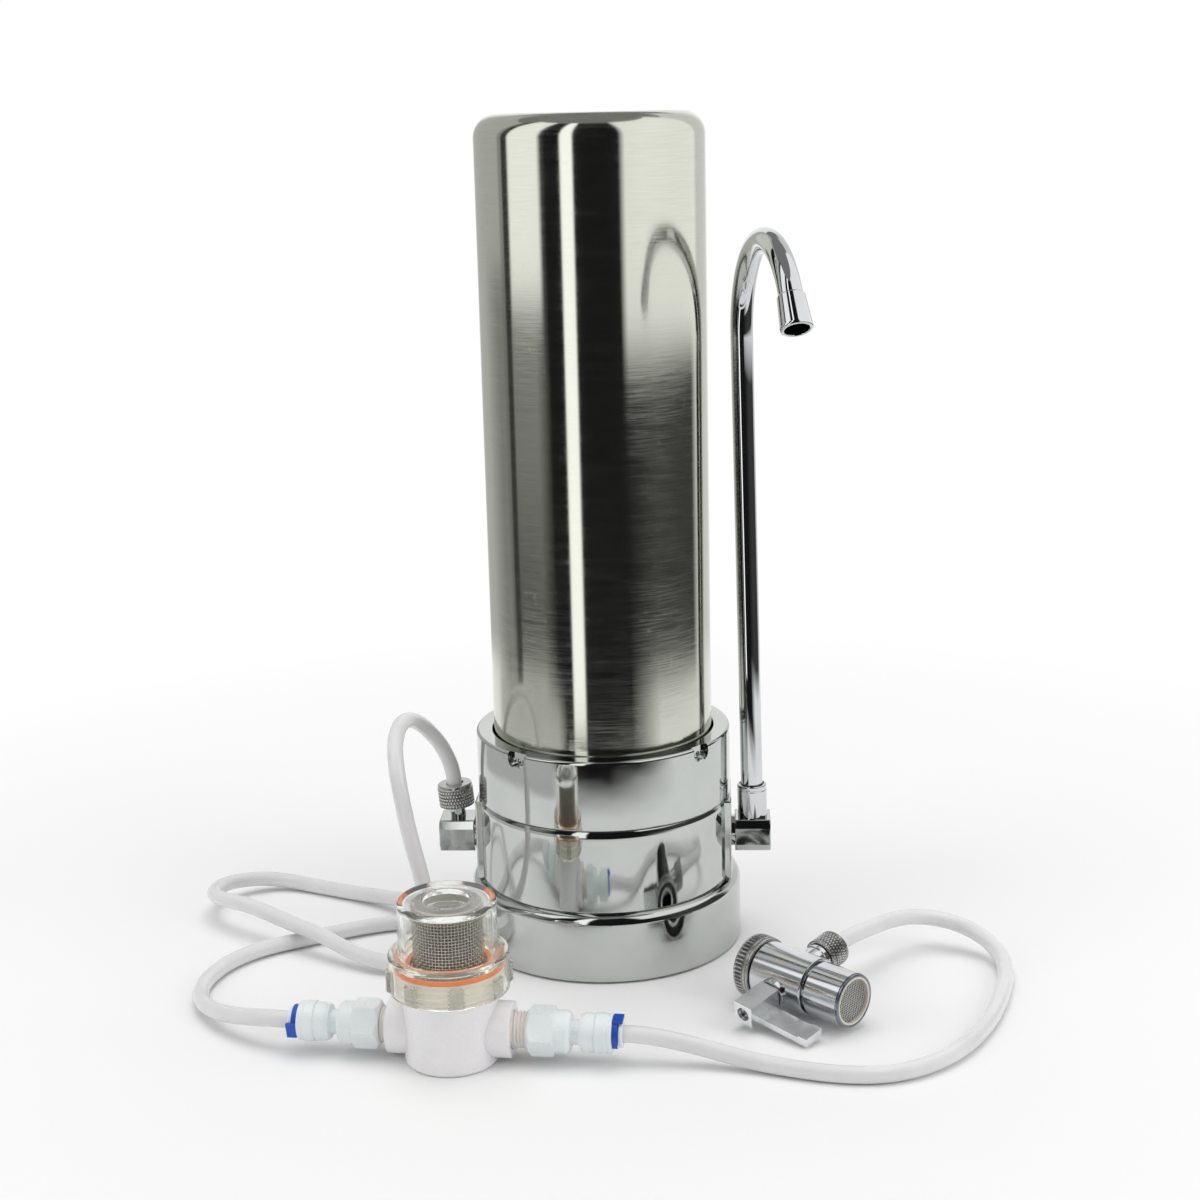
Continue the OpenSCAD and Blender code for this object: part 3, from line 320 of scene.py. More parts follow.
CHROME = make_chrome("stand_chrome", (0.585, 0.61, 0.585), (0.525, 0.55, 0.525))
SPOUT_CHROME = make_chrome("spout_chrome", (0.68, 0.69, 0.70), (0.62, 0.63, 0.64),
                           ripple=0.04, smooth=0.025, dull=0.05)
VALVE_CHROME = make_chrome("diverter_chrome", (0.70, 0.725, 0.74), (0.63, 0.655, 0.675),
                           ripple=0.10, smooth=0.09, dull=0.17)
LEVER_CHROME = make_chrome("lever_chrome", (0.90, 0.92, 0.925), (0.82, 0.84, 0.85),
                           ripple=0.3, smooth=0.18, dull=0.30)
RIM_CHROME = make_chrome("outlet_rim_chrome", (0.30, 0.33, 0.37), (0.22, 0.25, 0.29),
                         ripple=0.08, smooth=0.10, dull=0.18)
BRUSHED = make_brushed_sheet()
KNURL = make_machined("knurled_steel", (0.66, 0.655, 0.635), (0.50, 0.495, 0.48), 0.18, 0.32)
# Darker copy of the knurled steel for the groove floors: painted shade
GROOVE_SHADE = make_machined("knurl_groove_painted_shade", (0.20, 0.20, 0.195), (0.12, 0.12, 0.118), 0.30, 0.50)
SCREW = make_machined("screw_steel", (0.66, 0.66, 0.67), (0.50, 0.50, 0.51), 0.18, 0.34)
WIRE = make_machined("outlet_wire", (0.64, 0.63, 0.60), (0.48, 0.47, 0.445), 0.24, 0.40)
BASKET_WIRE = make_machined("basket_wire", (0.52, 0.475, 0.40), (0.36, 0.325, 0.27), 0.22, 0.38)
# Near-black backing, painted shade: seen between the basket's wires and under the outlet gauze
SHADE_BACKING = make_machined("painted_shade_backing", (0.030, 0.028, 0.025), (0.016, 0.015, 0.013), 0.45, 0.65)
# Pale backing for the inside of the basket: painted light
LIT_BACKING = make_moulded("painted_light_backing", (0.66, 0.65, 0.62), (0.54, 0.53, 0.50), 0.4, 0.6)
BRASS = make_machined("machined_brass", (0.78, 0.60, 0.30), (0.62, 0.45, 0.20), 0.18, 0.32)
RUBBER = make_moulded("seal_rubber", (0.035, 0.035, 0.036), (0.018, 0.018, 0.019), 0.5, 0.7,
                      bump=0.15)
CARBON = make_moulded("pressed_carbon", (0.05, 0.05, 0.05), (0.015, 0.015, 0.015), 0.75, 0.95,
                      bump=0.6)
CARTRIDGE = make_moulded("cartridge_plastic", (0.84, 0.84, 0.83), (0.76, 0.76, 0.75), 0.32, 0.45,
                         through=0.1)
TEE = make_moulded("tee_plastic", (0.90, 0.885, 0.90), (0.86, 0.845, 0.862), 0.24, 0.34,
                   through=0.12, coat=0.15)
THREAD = make_moulded("thread_plastic", (0.82, 0.775, 0.74), (0.74, 0.69, 0.655), 0.30, 0.42,
                      through=0.1)
FITTING = make_moulded("push_fitting_plastic", (0.84, 0.89, 0.895), (0.78, 0.83, 0.84), 0.22, 0.32,
                       through=0.15, coat=0.1)
TUBE = make_moulded("milky_tube", (0.79, 0.785, 0.79), (0.735, 0.73, 0.735), 0.16, 0.24,
                    bump=0.02, through=0.3, coat=0.35)
CLIP = make_moulded("clip_blue", (0.006, 0.085, 0.52), (0.004, 0.055, 0.40), 0.28, 0.4)
GASKET = make_moulded("gasket_orange", (1.0, 0.22, 0.008), (0.94, 0.175, 0.005), 0.3, 0.45)
CREAM = make_moulded("cream_ring", (0.80, 0.76, 0.66), (0.70, 0.655, 0.55), 0.35, 0.5)
CLEAR = make_clear("clear_moulding", (0.955, 0.96, 0.945), (0.92, 0.925, 0.905), 0.97, 1.32)
CLEAR_RING = make_clear("clear_ring", (0.95, 0.94, 0.875), (0.91, 0.895, 0.825), 0.96, 1.32)
# Darker, less clear copy of the ring's plastic for the lug faces: painted shade
CLEAR_LUG_SHADE = make_clear("clear_lug_painted_shade", (0.62, 0.61, 0.55), (0.50, 0.49, 0.44), 0.66, 1.45)


# Mesh helpers: a profile's corners are radius, height and, where it is rounded, a fillet
def rounded(corners, closed, steps):
    points, n = [], len(corners)
    for i, corner in enumerate(corners):
        p, fillet = Vector(corner[:2]), (corner[2] if len(corner) > 2 else 0)
        if fillet <= 0 or (not closed and i in (0, n - 1)):
            points.append(p)
            continue
        a = (Vector(corners[i - 1][:2]) - p).normalized()
        b = (Vector(corners[(i + 1) % n][:2]) - p).normalized()
        half = a.angle(b) / 2
        centre = p + (a + b).normalized() * (fillet / math.sin(half))
        first = p + a * (fillet / math.tan(half)) - centre
        last = p + b * (fillet / math.tan(half)) - centre
        square = last - first * (first.dot(last) / first.length_squared)
        side = square.normalized() * first.length
        for k in range(steps + 1):
            w = (math.pi - 2 * half) * k / steps
            points.append(centre + first * math.cos(w) + side * math.sin(w))
    return points


def finer(points, closed, pitch):
    out = []
    for i, p in enumerate(points):
        out.append(p)
        if i + 1 == len(points) and not closed:
            break
        q = points[(i + 1) % len(points)]
        parts = max(1, math.ceil((q - p).length / pitch))
        out += [p.lerp(q, k / parts) for k in range(1, parts)]
    return out


def on_circle(r, a, z):
    return Vector((r * math.cos(a), r * math.sin(a), z))


# A band of faces between two rings of the same count, or between a ring and a single point
def bridge(bm, p, q, seg):
    for k in range(seg):
        j = (k + 1) % seg
        if len(p) == 1:
            bm.faces.new((p[0], q[j], q[k]))
        elif len(q) == 1:
            bm.faces.new((p[k], p[j], q[0]))
        else:
            bm.faces.new((p[k], p[j], q[j], q[k]))


def add_turned(bm, corners, place, seg=160, closed=True, steps=5, pitch=0, shape=None):
    points = rounded(corners, closed, steps)
    if pitch:
        points = finer(points, closed, pitch)
    rings = []
    for p in points:
        if p.x < 1e-6:
            rings.append([bm.verts.new(place @ Vector((0, 0, p.y)))])
            continue
        ring = []
        for k in range(seg):
            a = FULL_TURN * k / seg
            r = shape(p.x, a, p.y) if shape else p.x
            ring.append(bm.verts.new(place @ on_circle(r, a, p.y)))
        rings.append(ring)
    for p, q in list(zip(rings, rings[1:])) + ([(rings[-1], rings[0])] if closed else []):
        if len(p) > 1 or len(q) > 1:
            bridge(bm, p, q, seg)


def add_prism(bm, outline, low, high, place):
    bottom = [bm.verts.new(place @ Vector((x, y, low))) for x, y in outline]
    top = [bm.verts.new(place @ Vector((x, y, high))) for x, y in outline]
    bm.faces.new(bottom[::-1])
    bm.faces.new(top)
    bridge(bm, bottom, top, len(outline))


def add_wire(bm, points, radius, loop):
    n, rings = len(points), []
    corners = [math.pi / 4 + k * math.pi / 2 for k in range(4)]
    for i, p in enumerate(points):
        q = points[(i + 1) % n] if loop else points[min(i + 1, n - 1)]
        o = points[i - 1] if loop else points[max(i - 1, 0)]
        t = (q - o).normalized()
        skew = Vector((0.123, 0.377, 0.918)) if abs(t.z) < 0.8 else Vector((0.98, 0.17, 0.05))
        side = t.cross(skew).normalized()
        up = t.cross(side)
        rings.append([bm.verts.new(p + (side * math.cos(w) + up * math.sin(w)) * radius)
                      for w in corners])
    for i in range(n if loop else n - 1):
        bridge(bm, rings[i], rings[(i + 1) % n], 4)


def even_normals(piece):
    piece.modifiers.new("even_normals", "WEIGHTED_NORMAL").keep_sharp = True


def soften_edges(piece, width, angle=38, segments=3):
    edge = piece.modifiers.new("soft_edges", "BEVEL")
    edge.width, edge.segments = width * MM, segments
    edge.limit_method, edge.angle_limit = "ANGLE", math.radians(angle)
    edge.harden_normals = False


def make_piece(name, bm, angle=CREASE, bevel=0.0, even=True):
    bmesh.ops.recalc_face_normals(bm, faces=bm.faces)
    bm.transform(Matrix.Scale(MM, 4))
    mesh = bpy.data.meshes.new(name)
    bm.to_mesh(mesh)
    bm.free()
    mesh.polygons.foreach_set("use_smooth", [True] * len(mesh.polygons))
    mesh.set_sharp_from_angle(angle=math.radians(angle))
    piece = bpy.data.objects.new(name, mesh)
    scene.collection.objects.link(piece)
    if bevel:
        soften_edges(piece, bevel)
    if even:
        even_normals(piece)
    return piece


def turned(name, corners, place=STAND, angle=CREASE, **how):
    bm = bmesh.new()
    add_turned(bm, corners, place, **how)
    return make_piece(name, bm, angle=angle)


def dress(piece, material, body, slot, *nodes):
    piece.data.materials.clear()
    piece.data.materials.append(material)
    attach(piece, body)
    if nodes:
        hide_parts(*nodes)
    return piece


def keep_node(name, material, bevel=0.0):
    node = NODES[name]
    node.data.materials.clear()
    node.data.materials.append(material)
    if bevel:
        flat = node.modifiers.new("flat_faces", "DECIMATE")
        flat.decimate_type, flat.angle_limit = "DISSOLVE", math.radians(1.5)
        soften_edges(node, bevel)
        even_normals(node)


# Each face with its centre as seen from a place, in millimetres
def faces_from(piece, place):
    back = place.inverted()
    return [(face, back @ (face.center / MM)) for face in piece.data.polygons]


def paint(piece, material, faces):
    piece.data.materials.append(material)
    for face in faces:
        face.material_index = len(piece.data.materials) - 1


# How far from a thread's crest a point lies, from 0 to 1
def off_crest(a, z, pitch):
    return abs(2 * ((z / pitch - a / FULL_TURN) % 1.0) - 1)


# Tubes, 6.4 mm polyethylene, along the routes of the part's source
TUBE_R = 3.2
INLET_ROUTE = (
    (-62.7, 0, 61), (-63.8, -0.1, 71.9), (-67.3, -2, 82), (-71.8, -7, 90.6), (-75.4, -15, 97),
    (-77.9, -25, 100.6), (-79.2, -35.8, 100.9), (-79.3, -46.1, 97.4), (-77.9, -54, 90.1),
    (-75.9, -58.3, 80.3), (-73.9, -59.9, 69.7), (-71.8, -59.9, 59), (-69.6, -58.9, 48.3),
    (-68.2, -56.5, 37.7), (-67.2, -52.1, 27.8), (-66.4, -44.8, 19.8), (-66.9, -35.3, 14.6),
    (-68.8, -24.8, 12.1), (-71.6, -14.3, 11.2), (-75.8, -4.2, 10.7), (-81.5, 5.1, 9.6),
    (-88.3, 13.4, 7.5), (-96.3, 20.5, 5.5), (-105.4, 26.5, 4.2), (-115, 31.5, 3.5),
    (-125, 36.2, 3.3), (-135, 40.6, 3.3), (-145.4, 43.7, 4.1), (-156.2, 43, 5.5),
    (-165.5, 37.7, 6.9), (-171.6, 28.8, 8.4), (-173.1, 18.2, 9.8), (-169.7, 8, 11.3),
    (-162.4, 0, 12.6), (-153.4, -6.1, 13.2), (-144.3, -12.2, 12.6), (-135.2, -18.2, 11.5),
    (-126, -24, 10.5), (-116.8, -29.7, 9.3), (-107.8, -35.7, 7.5), (-98.7, -41.6, 5.8),
    (-88.8, -46.2, 4.9), (-78, -46.9, 4.7), (-68, -42.8, 4.5), (-61.1, -34.5, 4.2),
    (-58.7, -23.9, 4), (-61.3, -13.4, 3.8), (-68.5, -5.3, 3.6), (-78.6, -1.3, 3.4),
    (-89.5, -1.9, 3.3), (-99.9, -5.3, 3.3), (-109.7, -10.1, 3.3), (-119.3, -15.4, 3.3),
    (-128.8, -20.9, 3.3), (-138, -26.7, 3.3), (-146.1, -34.1, 3.3), (-152.3, -43, 3.3),
    (-156.2, -53.2, 3.3), (-157.7, -64, 3.4), (-156.4, -74.9, 3.7), (-152.3, -84.9, 4.6),
    (-145.9, -93.7, 6), (-138.1, -101.1, 7.9), (-129.2, -107.1, 9.9), (-119.5, -111.9, 11.7),
    (-114.8, -113.3, 12), (-106.2, -114.2, 12))
SUPPLY_ROUTE = (
    (6.8, -124.1, 12), (17.9, -124.9, 11.9), (28.9, -125.2, 10.2), (39.7, -125.9, 7.8),
    (50.4, -127.5, 5.5), (61.1, -130.1, 3.9), (71.8, -133.3, 3.4), (82.5, -136.3, 3.3),
    (93.4, -138.1, 3.3), (104.5, -137.8, 3.3), (115.1, -134.3, 3.3), (124.4, -128.3, 3.3),
    (132.3, -120.6, 3.3), (139, -111.7, 3.3), (144.5, -102.1, 3.3), (149.2, -91.9, 3.3),
    (153, -81.5, 3.3), (156.2, -70.9, 3.3), (158.9, -60.1, 3.3), (160.5, -49.1, 3.5),
    (159.9, -38.2, 5), (155.2, -28.6, 7.8), (146.8, -22, 10.6), (136.3, -19.7, 12.9),
    (125.7, -22.3, 14.7), (117.1, -29.1, 16.1), (110.2, -37.8, 17.4), (103.1, -46.3, 18.2),
    (95.7, -54.6, 17.9), (88.4, -62.7, 16))


def smooth_route(route, pitch=1.6):
    p = [Vector(c) for c in route]
    out = [p[0]]
    for i in range(len(p) - 1):
        a, b, c, d = p[max(i - 1, 0)], p[i], p[i + 1], p[min(i + 2, len(p) - 1)]
        ta, tb, tc = (b - a).length ** 0.5, (c - b).length ** 0.5, (d - c).length ** 0.5
        m1 = ((c - b) / tb - (c - a) / (ta + tb) + (b - a) / ta) if ta else (c - b) / tb
        m2 = ((d - c) / tc - (d - b) / (tb + tc) + (c - b) / tb) if tc else (c - b) / tb
        parts = max(2, math.ceil((c - b).length / pitch))
        for k in range(1, parts + 1):
            t = k / parts
            out.append(b * (2 * t**3 - 3 * t**2 + 1) + m1 * tb * (t**3 - 2 * t**2 + t)
                       + c * (3 * t**2 - 2 * t**3) + m2 * tb * (t**3 - t**2))
    return out


def make_tube(name, route):
    points = smooth_route(route)
    curve = bpy.data.curves.new(name, "CURVE")
    curve.dimensions, curve.use_fill_caps = "3D", True
    curve.bevel_depth, curve.bevel_resolution = TUBE_R * MM, 5
    line = curve.splines.new("POLY")
    line.points.add(len(points) - 1)
    for at, p in zip(line.points, points):
        at.co = (*(p * MM), 1)
    line.use_smooth = True
    tube = bpy.data.objects.new(name, curve)
    scene.collection.objects.link(tube)
    return tube


inlet_hose = dress(make_tube("inlet_hose", INLET_ROUTE), TUBE, "stand", "tube", "inlet_tube")
supply_hose = dress(make_tube("supply_hose", SUPPLY_ROUTE), TUBE, "stand", "tube", "supply_tube")


# Base, head and collar: plated castings, turned
base_shell = turned("base_shell", [
    (48.6, 3.2), (48.6, 2.4), (54.6, 2.4), (54.6, 0.8), (56.4, 0.8, 0.5), (56.4, 28.4, 4.0),
    (36.4, 28.4, 0.4), (36.4, 26.6), (54.6, 26.6, 2.5), (54.6, 3.2)], seg=256, steps=10)
dress(base_shell, CHROME, "stand", "chrome", "base_skirt")
NECK_R, NECK_THREAD_LOW, NECK_THREAD_HIGH, NECK_PITCH = 47.5, 64.5, 76.5, 2.5


def neck_thread(r, a, z):
    if abs(r - NECK_R) > 0.01 or not NECK_THREAD_LOW < z < NECK_THREAD_HIGH:
        return r
    run_out = min(1.0, (z - NECK_THREAD_LOW) / 0.8, (NECK_THREAD_HIGH - z) / 0.8)
    return r - 0.8 * min(1.0, 2.4 * off_crest(a, z, NECK_PITCH)) * run_out


def make_head():
    bm = bmesh.new()
    add_turned(bm, [
        (0, 34.4), (37.4, 34.4), (37.4, 28.4, 0.3), (52.4, 28.4, 0.4), (52.4, 58.6), (52.36, 59.9),
        (52.22, 61.0), (51.95, 61.8), (51.6, 62.4, 0.2), (NECK_R, 62.4, 0.3), (NECK_R, 78.2, 0.5),
        (46.9, 78.2), (46.9, 76.0), (44.2, 76.0), (44.2, 78.2), (12.05, 78.2, 0.4), (12.05, 65.5),
        (6, 65.5, 0.4), (6, PORT_Z), (0, PORT_Z)],
        STAND, seg=256, closed=False, steps=6, pitch=0.4,
        shape=neck_thread)
    return make_piece("head_drum", bm)


dress(make_head(), CHROME, "stand", "chrome", "head_body")


def make_port_pad(name, side):
    inner, outer, half_width = side * 43.0, side * 52.8, 15.3
    outline = [(inner, -half_width), (outer, -half_width), (outer, half_width), (inner, half_width)]
    bm = bmesh.new()
    add_prism(bm, outline[::side], 28.5, 62.3, STAND)
    return make_piece(name, bm, bevel=0.7)


for label, side in (("port_pad_inlet", -1), ("port_pad_outlet", 1)):
    dress(make_port_pad(label, side), CHROME, "stand", "chrome")


# A spanner notch: its wall, and three round hollows in the floor behind
COLLAR_TOP, NOTCH_COUNT, NOTCH_TURN = 91.4, 4, 51.7
NOTCH_WALL = [
    (-4.35, 1), (-4.35, -3.4), (-3.6, -4.9), (-2.2, -5.8), (-0.9, -5.2), (0.9, -5.2), (2.2, -5.8),
    (3.6, -4.9), (4.35, -3.4), (4.35, 1)]


def make_notch_tool(k):
    place = (turn("Z", NOTCH_TURN + 360 / NOTCH_COUNT * k) @ move(50.2, 0, COLLAR_TOP)
             @ turn("Z", 90) @ turn("X", 90))
    hollow_r, hollow_y = 1.15, -3.4
    cut = bmesh.new()
    add_prism(cut, NOTCH_WALL, 0, 4, place)
    for x in (-2.7, 0, 2.7):
        hollow = [(x + hollow_r * math.cos(a * math.pi / 6),
                   hollow_y + hollow_r * math.sin(a * math.pi / 6)) for a in range(12)]
        add_prism(cut, hollow, -0.9, 1.0, place)
    return make_piece("notch_tool", cut, even=False)


def make_collar():
    bm = bmesh.new()
    add_turned(bm, [
        (47.9, 62.8, 0.4), (52.4, 62.8, 0.6), (52.4, COLLAR_TOP, 1.2), (45.6, COLLAR_TOP, 0.8),
        (45.6, 81.5), (47.9, 81.5)], STAND, seg=256, steps=8)
    collar = make_piece("collar_ring", bm, even=False)
    tools = [make_notch_tool(k) for k in range(NOTCH_COUNT)]
    for tool in tools:
        slot = collar.modifiers.new("notch", "BOOLEAN")
        slot.operation, slot.object, slot.solver = "DIFFERENCE", tool, "EXACT"
        slot.use_self = True
    soften_edges(collar, 0.22, angle=45, segments=2)
    bpy.context.view_layer.update()
    ready = collar.evaluated_get(bpy.context.evaluated_depsgraph_get())
    cut_mesh = bpy.data.meshes.new_from_object(ready)
    collar.modifiers.clear()
    collar.data = cut_mesh
    cut_mesh.set_sharp_from_angle(angle=math.radians(CREASE))
    for tool in tools:
        bpy.data.objects.remove(tool)
    even_normals(collar)
    return collar


dress(make_collar(), CHROME, "collar", "chrome", "clamp_collar")


# Canister: one deep-drawn sheet with a flange at its open end
canister_shell = turned("canister_shell", [
    (0, 336.5), (43.8, 336.5, 7.8), (43.8, 78.2), (47.3, 78.2, 0.6), (47.3, 81.2, 0.6),
    (45, 81.2, 0.5), (45, 337.7, 9.0), (0, 337.7)], seg=288, closed=False, steps=18)
dress(canister_shell, BRUSHED, "canister", "brushed", "canister")


# Elbow blocks with long bevels, and the swivel socket
def make_elbow(name, side):
    outline = [(-9, -3.5), (-7, -6.7), (7, -6.7), (9, -3.5),
               (9, 3.5), (7, 6.7), (-7, 6.7), (-9, 3.5)]
    to_side = STAND if side > 0 else turn("Z", 180)
    bm = bmesh.new()
    add_prism(bm, outline, 54.3, 69.1, move(0, 0, PORT_Z) @ to_side @ turn("Z", 90) @ turn("X", 90))
    return make_piece(name, bm, bevel=0.45)


dress(make_elbow("inlet_block", -1), CHROME, "stand", "chrome", "inlet_elbow")
dress(make_elbow("outlet_block", 1), CHROME, "stand", "chrome", "outlet_elbow")
spout_cup = turned("spout_cup", [
    (4.56, 1.2), (4.56, 12.8), (5.2, 12.8), (5.2, 13.8, 0.15), (6.1, 13.8, 0.5), (6.1, 12.1, 0.1),
    (5.95, 11.9, 0.1), (5.95, 11.5, 0.1), (6.1, 11.3, 0.1), (6.1, -0.2), (4.7, -0.2), (4.7, 1.2)],
    SPOUT, seg=96)
dress(spout_cup, SPOUT_CHROME, "stand", "chrome", "spout_socket")


# Spout: a thin pipe bent over and a flared nozzle
def make_spout_pipe():
    start, outer, bore = 1.5, 4.5, 3.5
    leg_parts, bend_parts, seg = 24, 72, 56
    stations = [SPOUT @ move(0, 0, start + (LEG - start) * k / leg_parts) @ turn("Z", SPOUT_TURN)
                for k in range(leg_parts + 1)]
    stations += [on_bend(BEND * k / bend_parts) for k in range(1, bend_parts + 1)]
    bm, skins = bmesh.new(), []
    for r in (outer, bore):
        rings = [[bm.verts.new(m @ on_circle(r, FULL_TURN * k / seg, 0)) for k in range(seg)]
                 for m in stations]
        for p, q in zip(rings, rings[1:]):
            bridge(bm, p, q, seg)
        skins.append(rings)
    for end in (0, -1):
        bridge(bm, skins[0][end], skins[1][end], seg)
    return make_piece("spout_gooseneck", bm)


dress(make_spout_pipe(), SPOUT_CHROME, "spout", "chrome", "spout_pipe")
nozzle_tip = turned("nozzle_tip", [
    (3.5, 0), (4.9, 0, 0.2), (5.2, 0.5, 0.3), (5.75, 9.0), (6.0, 12.4, 1.0), (6.0, 13.6, 0.7),
    (4.6, 13.6, 0.4), (4.6, 3), (3.5, 3)], on_bend(BEND), seg=96)
dress(nozzle_tip, SPOUT_CHROME, "spout", "chrome", "spout_nozzle")


# Knurled nuts: rows of short teeth, or one row of straight ones, with painted shade in the grooves
def dash_knurl(radius, low, high, depth, count=36, rows=5):
    def shape(r, a, z):
        if abs(r - radius) > 0.02 or not low < z < high:
            return r
        row = (z - low) / (high - low) * rows
        u = count * a / FULL_TURN + 0.5 * (int(row) % 2)
        groove = min(1.0, max(0.0, 3.0 * abs(2 * (u % 1.0) - 1) - 1.4))
        ends = max(0.0, 1.0 - 5.0 * min(row % 1.0, 1.0 - row % 1.0))
        return r - depth * max(groove, 0.7 * ends)
    return shape


def straight_knurl(radius, low, high, depth, count=48):
    def shape(r, a, z):
        if abs(r - radius) > 0.02 or not low < z < high:
            return r
        edge = min(1.0, (z - low) / 0.25, (high - z) / 0.25)
        return r - depth * edge * abs(2 * ((count * a / FULL_TURN) % 1.0) - 1)
    return shape


def make_nut(name, corners, place, pitch, body, node, knurl, radius, low, high, depth):
    nut = turned(name, corners, place, seg=288, pitch=pitch, steps=3, angle=50,
                 shape=knurl(radius, low, high, depth))
    dress(nut, KNURL, body, "steel", node)
    # the faces down in the grooves take the darker steel: painted shade
    paint(nut, GROOVE_SHADE, [
        face for face, c in faces_from(nut, place) if low < c.z < high
        and radius - 1.2 * depth < math.hypot(c.x, c.y) < radius - 0.5 * depth])


make_nut("inlet_grip", [
    (3.6, 14.5, 0.3), (3.6, 10.5), (5.4, 10.5), (5.4, 4.9, 0.2), (7.4, 4.9, 0.5), (7.4, 12.7),
    (7.0, 12.9), (7.0, 13.2), (7.3, 13.4), (7.1, 14.5, 0.6)],
    INLET, 0.2, "inlet_nut", "inlet_nut", dash_knurl, radius=7.4, low=5.4, high=12.6, depth=0.55)


# Strainer: opaque tee, clear cap and ring, woven screen
TEE_NECK_R, TEE_THREAD_LOW, TEE_THREAD_HIGH, TEE_PITCH, RING_R = 20, 28.6, 36.4, 2.6, 22.2
LUG_LOW, LUG_HIGH, LUG_STEP, LUG_TURN, LUG_HALF, LUG_OUT = 28.8, 36.7, 45, 71, 2.85, 1.2


def strainer_thread(r, a, z):
    if abs(r - TEE_NECK_R) > 0.02 or not TEE_THREAD_LOW < z < TEE_THREAD_HIGH:
        return r
    return r - 0.9 * min(1.0, 2.2 * off_crest(a, z, TEE_PITCH))


def make_tee():
    bm = bmesh.new()
    add_turned(bm, [
        (0, 0), (17.6, 0, 1.5), (17.6, 27.0, 0.6), (TEE_NECK_R, 27.0, 0.4), (TEE_NECK_R, 37.0, 0.4),
        (13.5, 37, 0.3), (13.5, 33), (11, 33, 0.4), (11, 3.5, 1.0), (0, 3.5)],
        STRAINER, seg=176, closed=False, pitch=0.45, shape=strainer_thread)
    for place in (FITTING_A, FITTING_B):
        add_turned(bm, [(7, 12), (10.4, 12), (10.4, 23.2, 0.4), (7, 23.2, 0.4)], place, seg=96)
    return make_piece("strainer_bowl", bm)


dress(make_tee(), TEE, "stand", "pink_white", "strainer_tee")
seal_ring = turned("strainer_seal", [
    (14, 37.02, 0.3), (20, 37.02, 0.5), (20, 39.0, 0.5), (14, 39.0, 0.3)], STRAINER, seg=144)
dress(seal_ring, GASKET, "stand", "orange", "strainer_gasket")
dome = turned("strainer_dome", [
    (0, 58.8), (3.0, 58.7), (6.0, 58.2), (8.5, 58.0, 1.0), (8.5, 62.5, 0.8), (18.2, 62.5, 1.5),
    (18.2, 40.8, 0.5), (20, 40.8, 0.4), (20, 39.02, 0.3), (16, 39.02, 0.3), (16, 59.6, 0.9),
    (12.25, 59.6, 0.3), (12.25, 55.8, 0.4), (0, 55.8)], STRAINER, seg=160, closed=False, steps=6)
dress(dome, CLEAR, "strainer_cap", "clear", "strainer_cap")


def ring_lugs(r, a, z):
    if abs(r - RING_R) > 0.02 or not LUG_LOW < z < LUG_HIGH:
        return r
    off = (math.degrees(a) + LUG_TURN + LUG_STEP / 2) % LUG_STEP - LUG_STEP / 2
    across = abs(math.radians(off)) * RING_R
    side = max(0.0, min(1.0, (LUG_HALF - across) / 0.7))
    top = max(0.0, min(1.0, (LUG_HIGH - z) / 0.6))
    return r + side * top * (LUG_OUT - 0.35 * abs(2 * (z / 1.6 % 1.0) - 1))


grip_ring = turned("strainer_grip_ring", [
    (20.4, 28.3, 0.3), (RING_R, 28.3, 0.4), (RING_R, 42.5, 1.0), (18.6, 42.5, 0.4), (18.6, 41.1),
    (20.4, 41.1)], STRAINER, seg=360, pitch=0.4, steps=4, angle=45, shape=ring_lugs)
dress(grip_ring, CLEAR_RING, "strainer_ring", "clear", "strainer_ring")
# lug faces take the darker copy: painted shade
paint(grip_ring, CLEAR_LUG_SHADE, [face for face, c in faces_from(grip_ring, STRAINER)
                             if math.hypot(c.x, c.y) > RING_R + 0.1])


# Woven basket over a liner: wires that pass over and under each other, and a hoop at either end;
# the liner is near black outside, painted shade between the wires, and pale inside, painted light
# in the basket
def make_basket():
    bm, pitch, radius, low, high, weave, wire = bmesh.new(), 1.2, 12.75, 33.5, 59.3, 0.20, 0.18
    uprights = 2 * round(math.pi * radius / pitch)
    hoops = 2 * round((high - low) / pitch / 2)
    step = (high - low) / hoops
    for k in range(uprights):
        swing = weave * (-1) ** k
        add_wire(bm, [STRAINER @ on_circle(radius + swing * math.cos(math.pi * j / 2),
                                           FULL_TURN * k / uprights, low + step * j / 2)
                      for j in range(2 * hoops + 1)], wire, False)
    for j in range(hoops + 1):
        swing = weave * (-1) ** j
        add_wire(bm, [STRAINER @ on_circle(radius - swing * math.cos(math.pi * k / 2),
                                           math.pi * k / uprights, low + step * j)
                      for k in range(2 * uprights)], wire, True)
    for z in (33.5, 59.2):
        add_turned(bm, [(12.4, z - 0.15), (13.0, z - 0.15), (13.0, z + 0.25), (12.4, z + 0.25)],
                   STRAINER, seg=80)
    wires = len(bm.faces)
    add_turned(bm, [(12.35, 33.6), (12.45, 33.6), (12.45, 59.2), (12.35, 59.2)], STRAINER, seg=96)
    return make_piece("strainer_basket", bm, even=False), wires


basket, wire_faces = make_basket()
dress(basket, BASKET_WIRE, "strainer_cap", "mesh", "strainer_screen")
outward, inward = [], []
for face in basket.data.polygons[wire_faces:]:
    out = face.center / MM - STRAINER.translation
    faces_out = face.normal.x * out.x + face.normal.y * out.y > 0
    (outward if faces_out else inward).append(face)
# Outer faces of the liner: painted shade; inner faces: painted light
paint(basket, SHADE_BACKING, outward)
paint(basket, LIT_BACKING, inward)


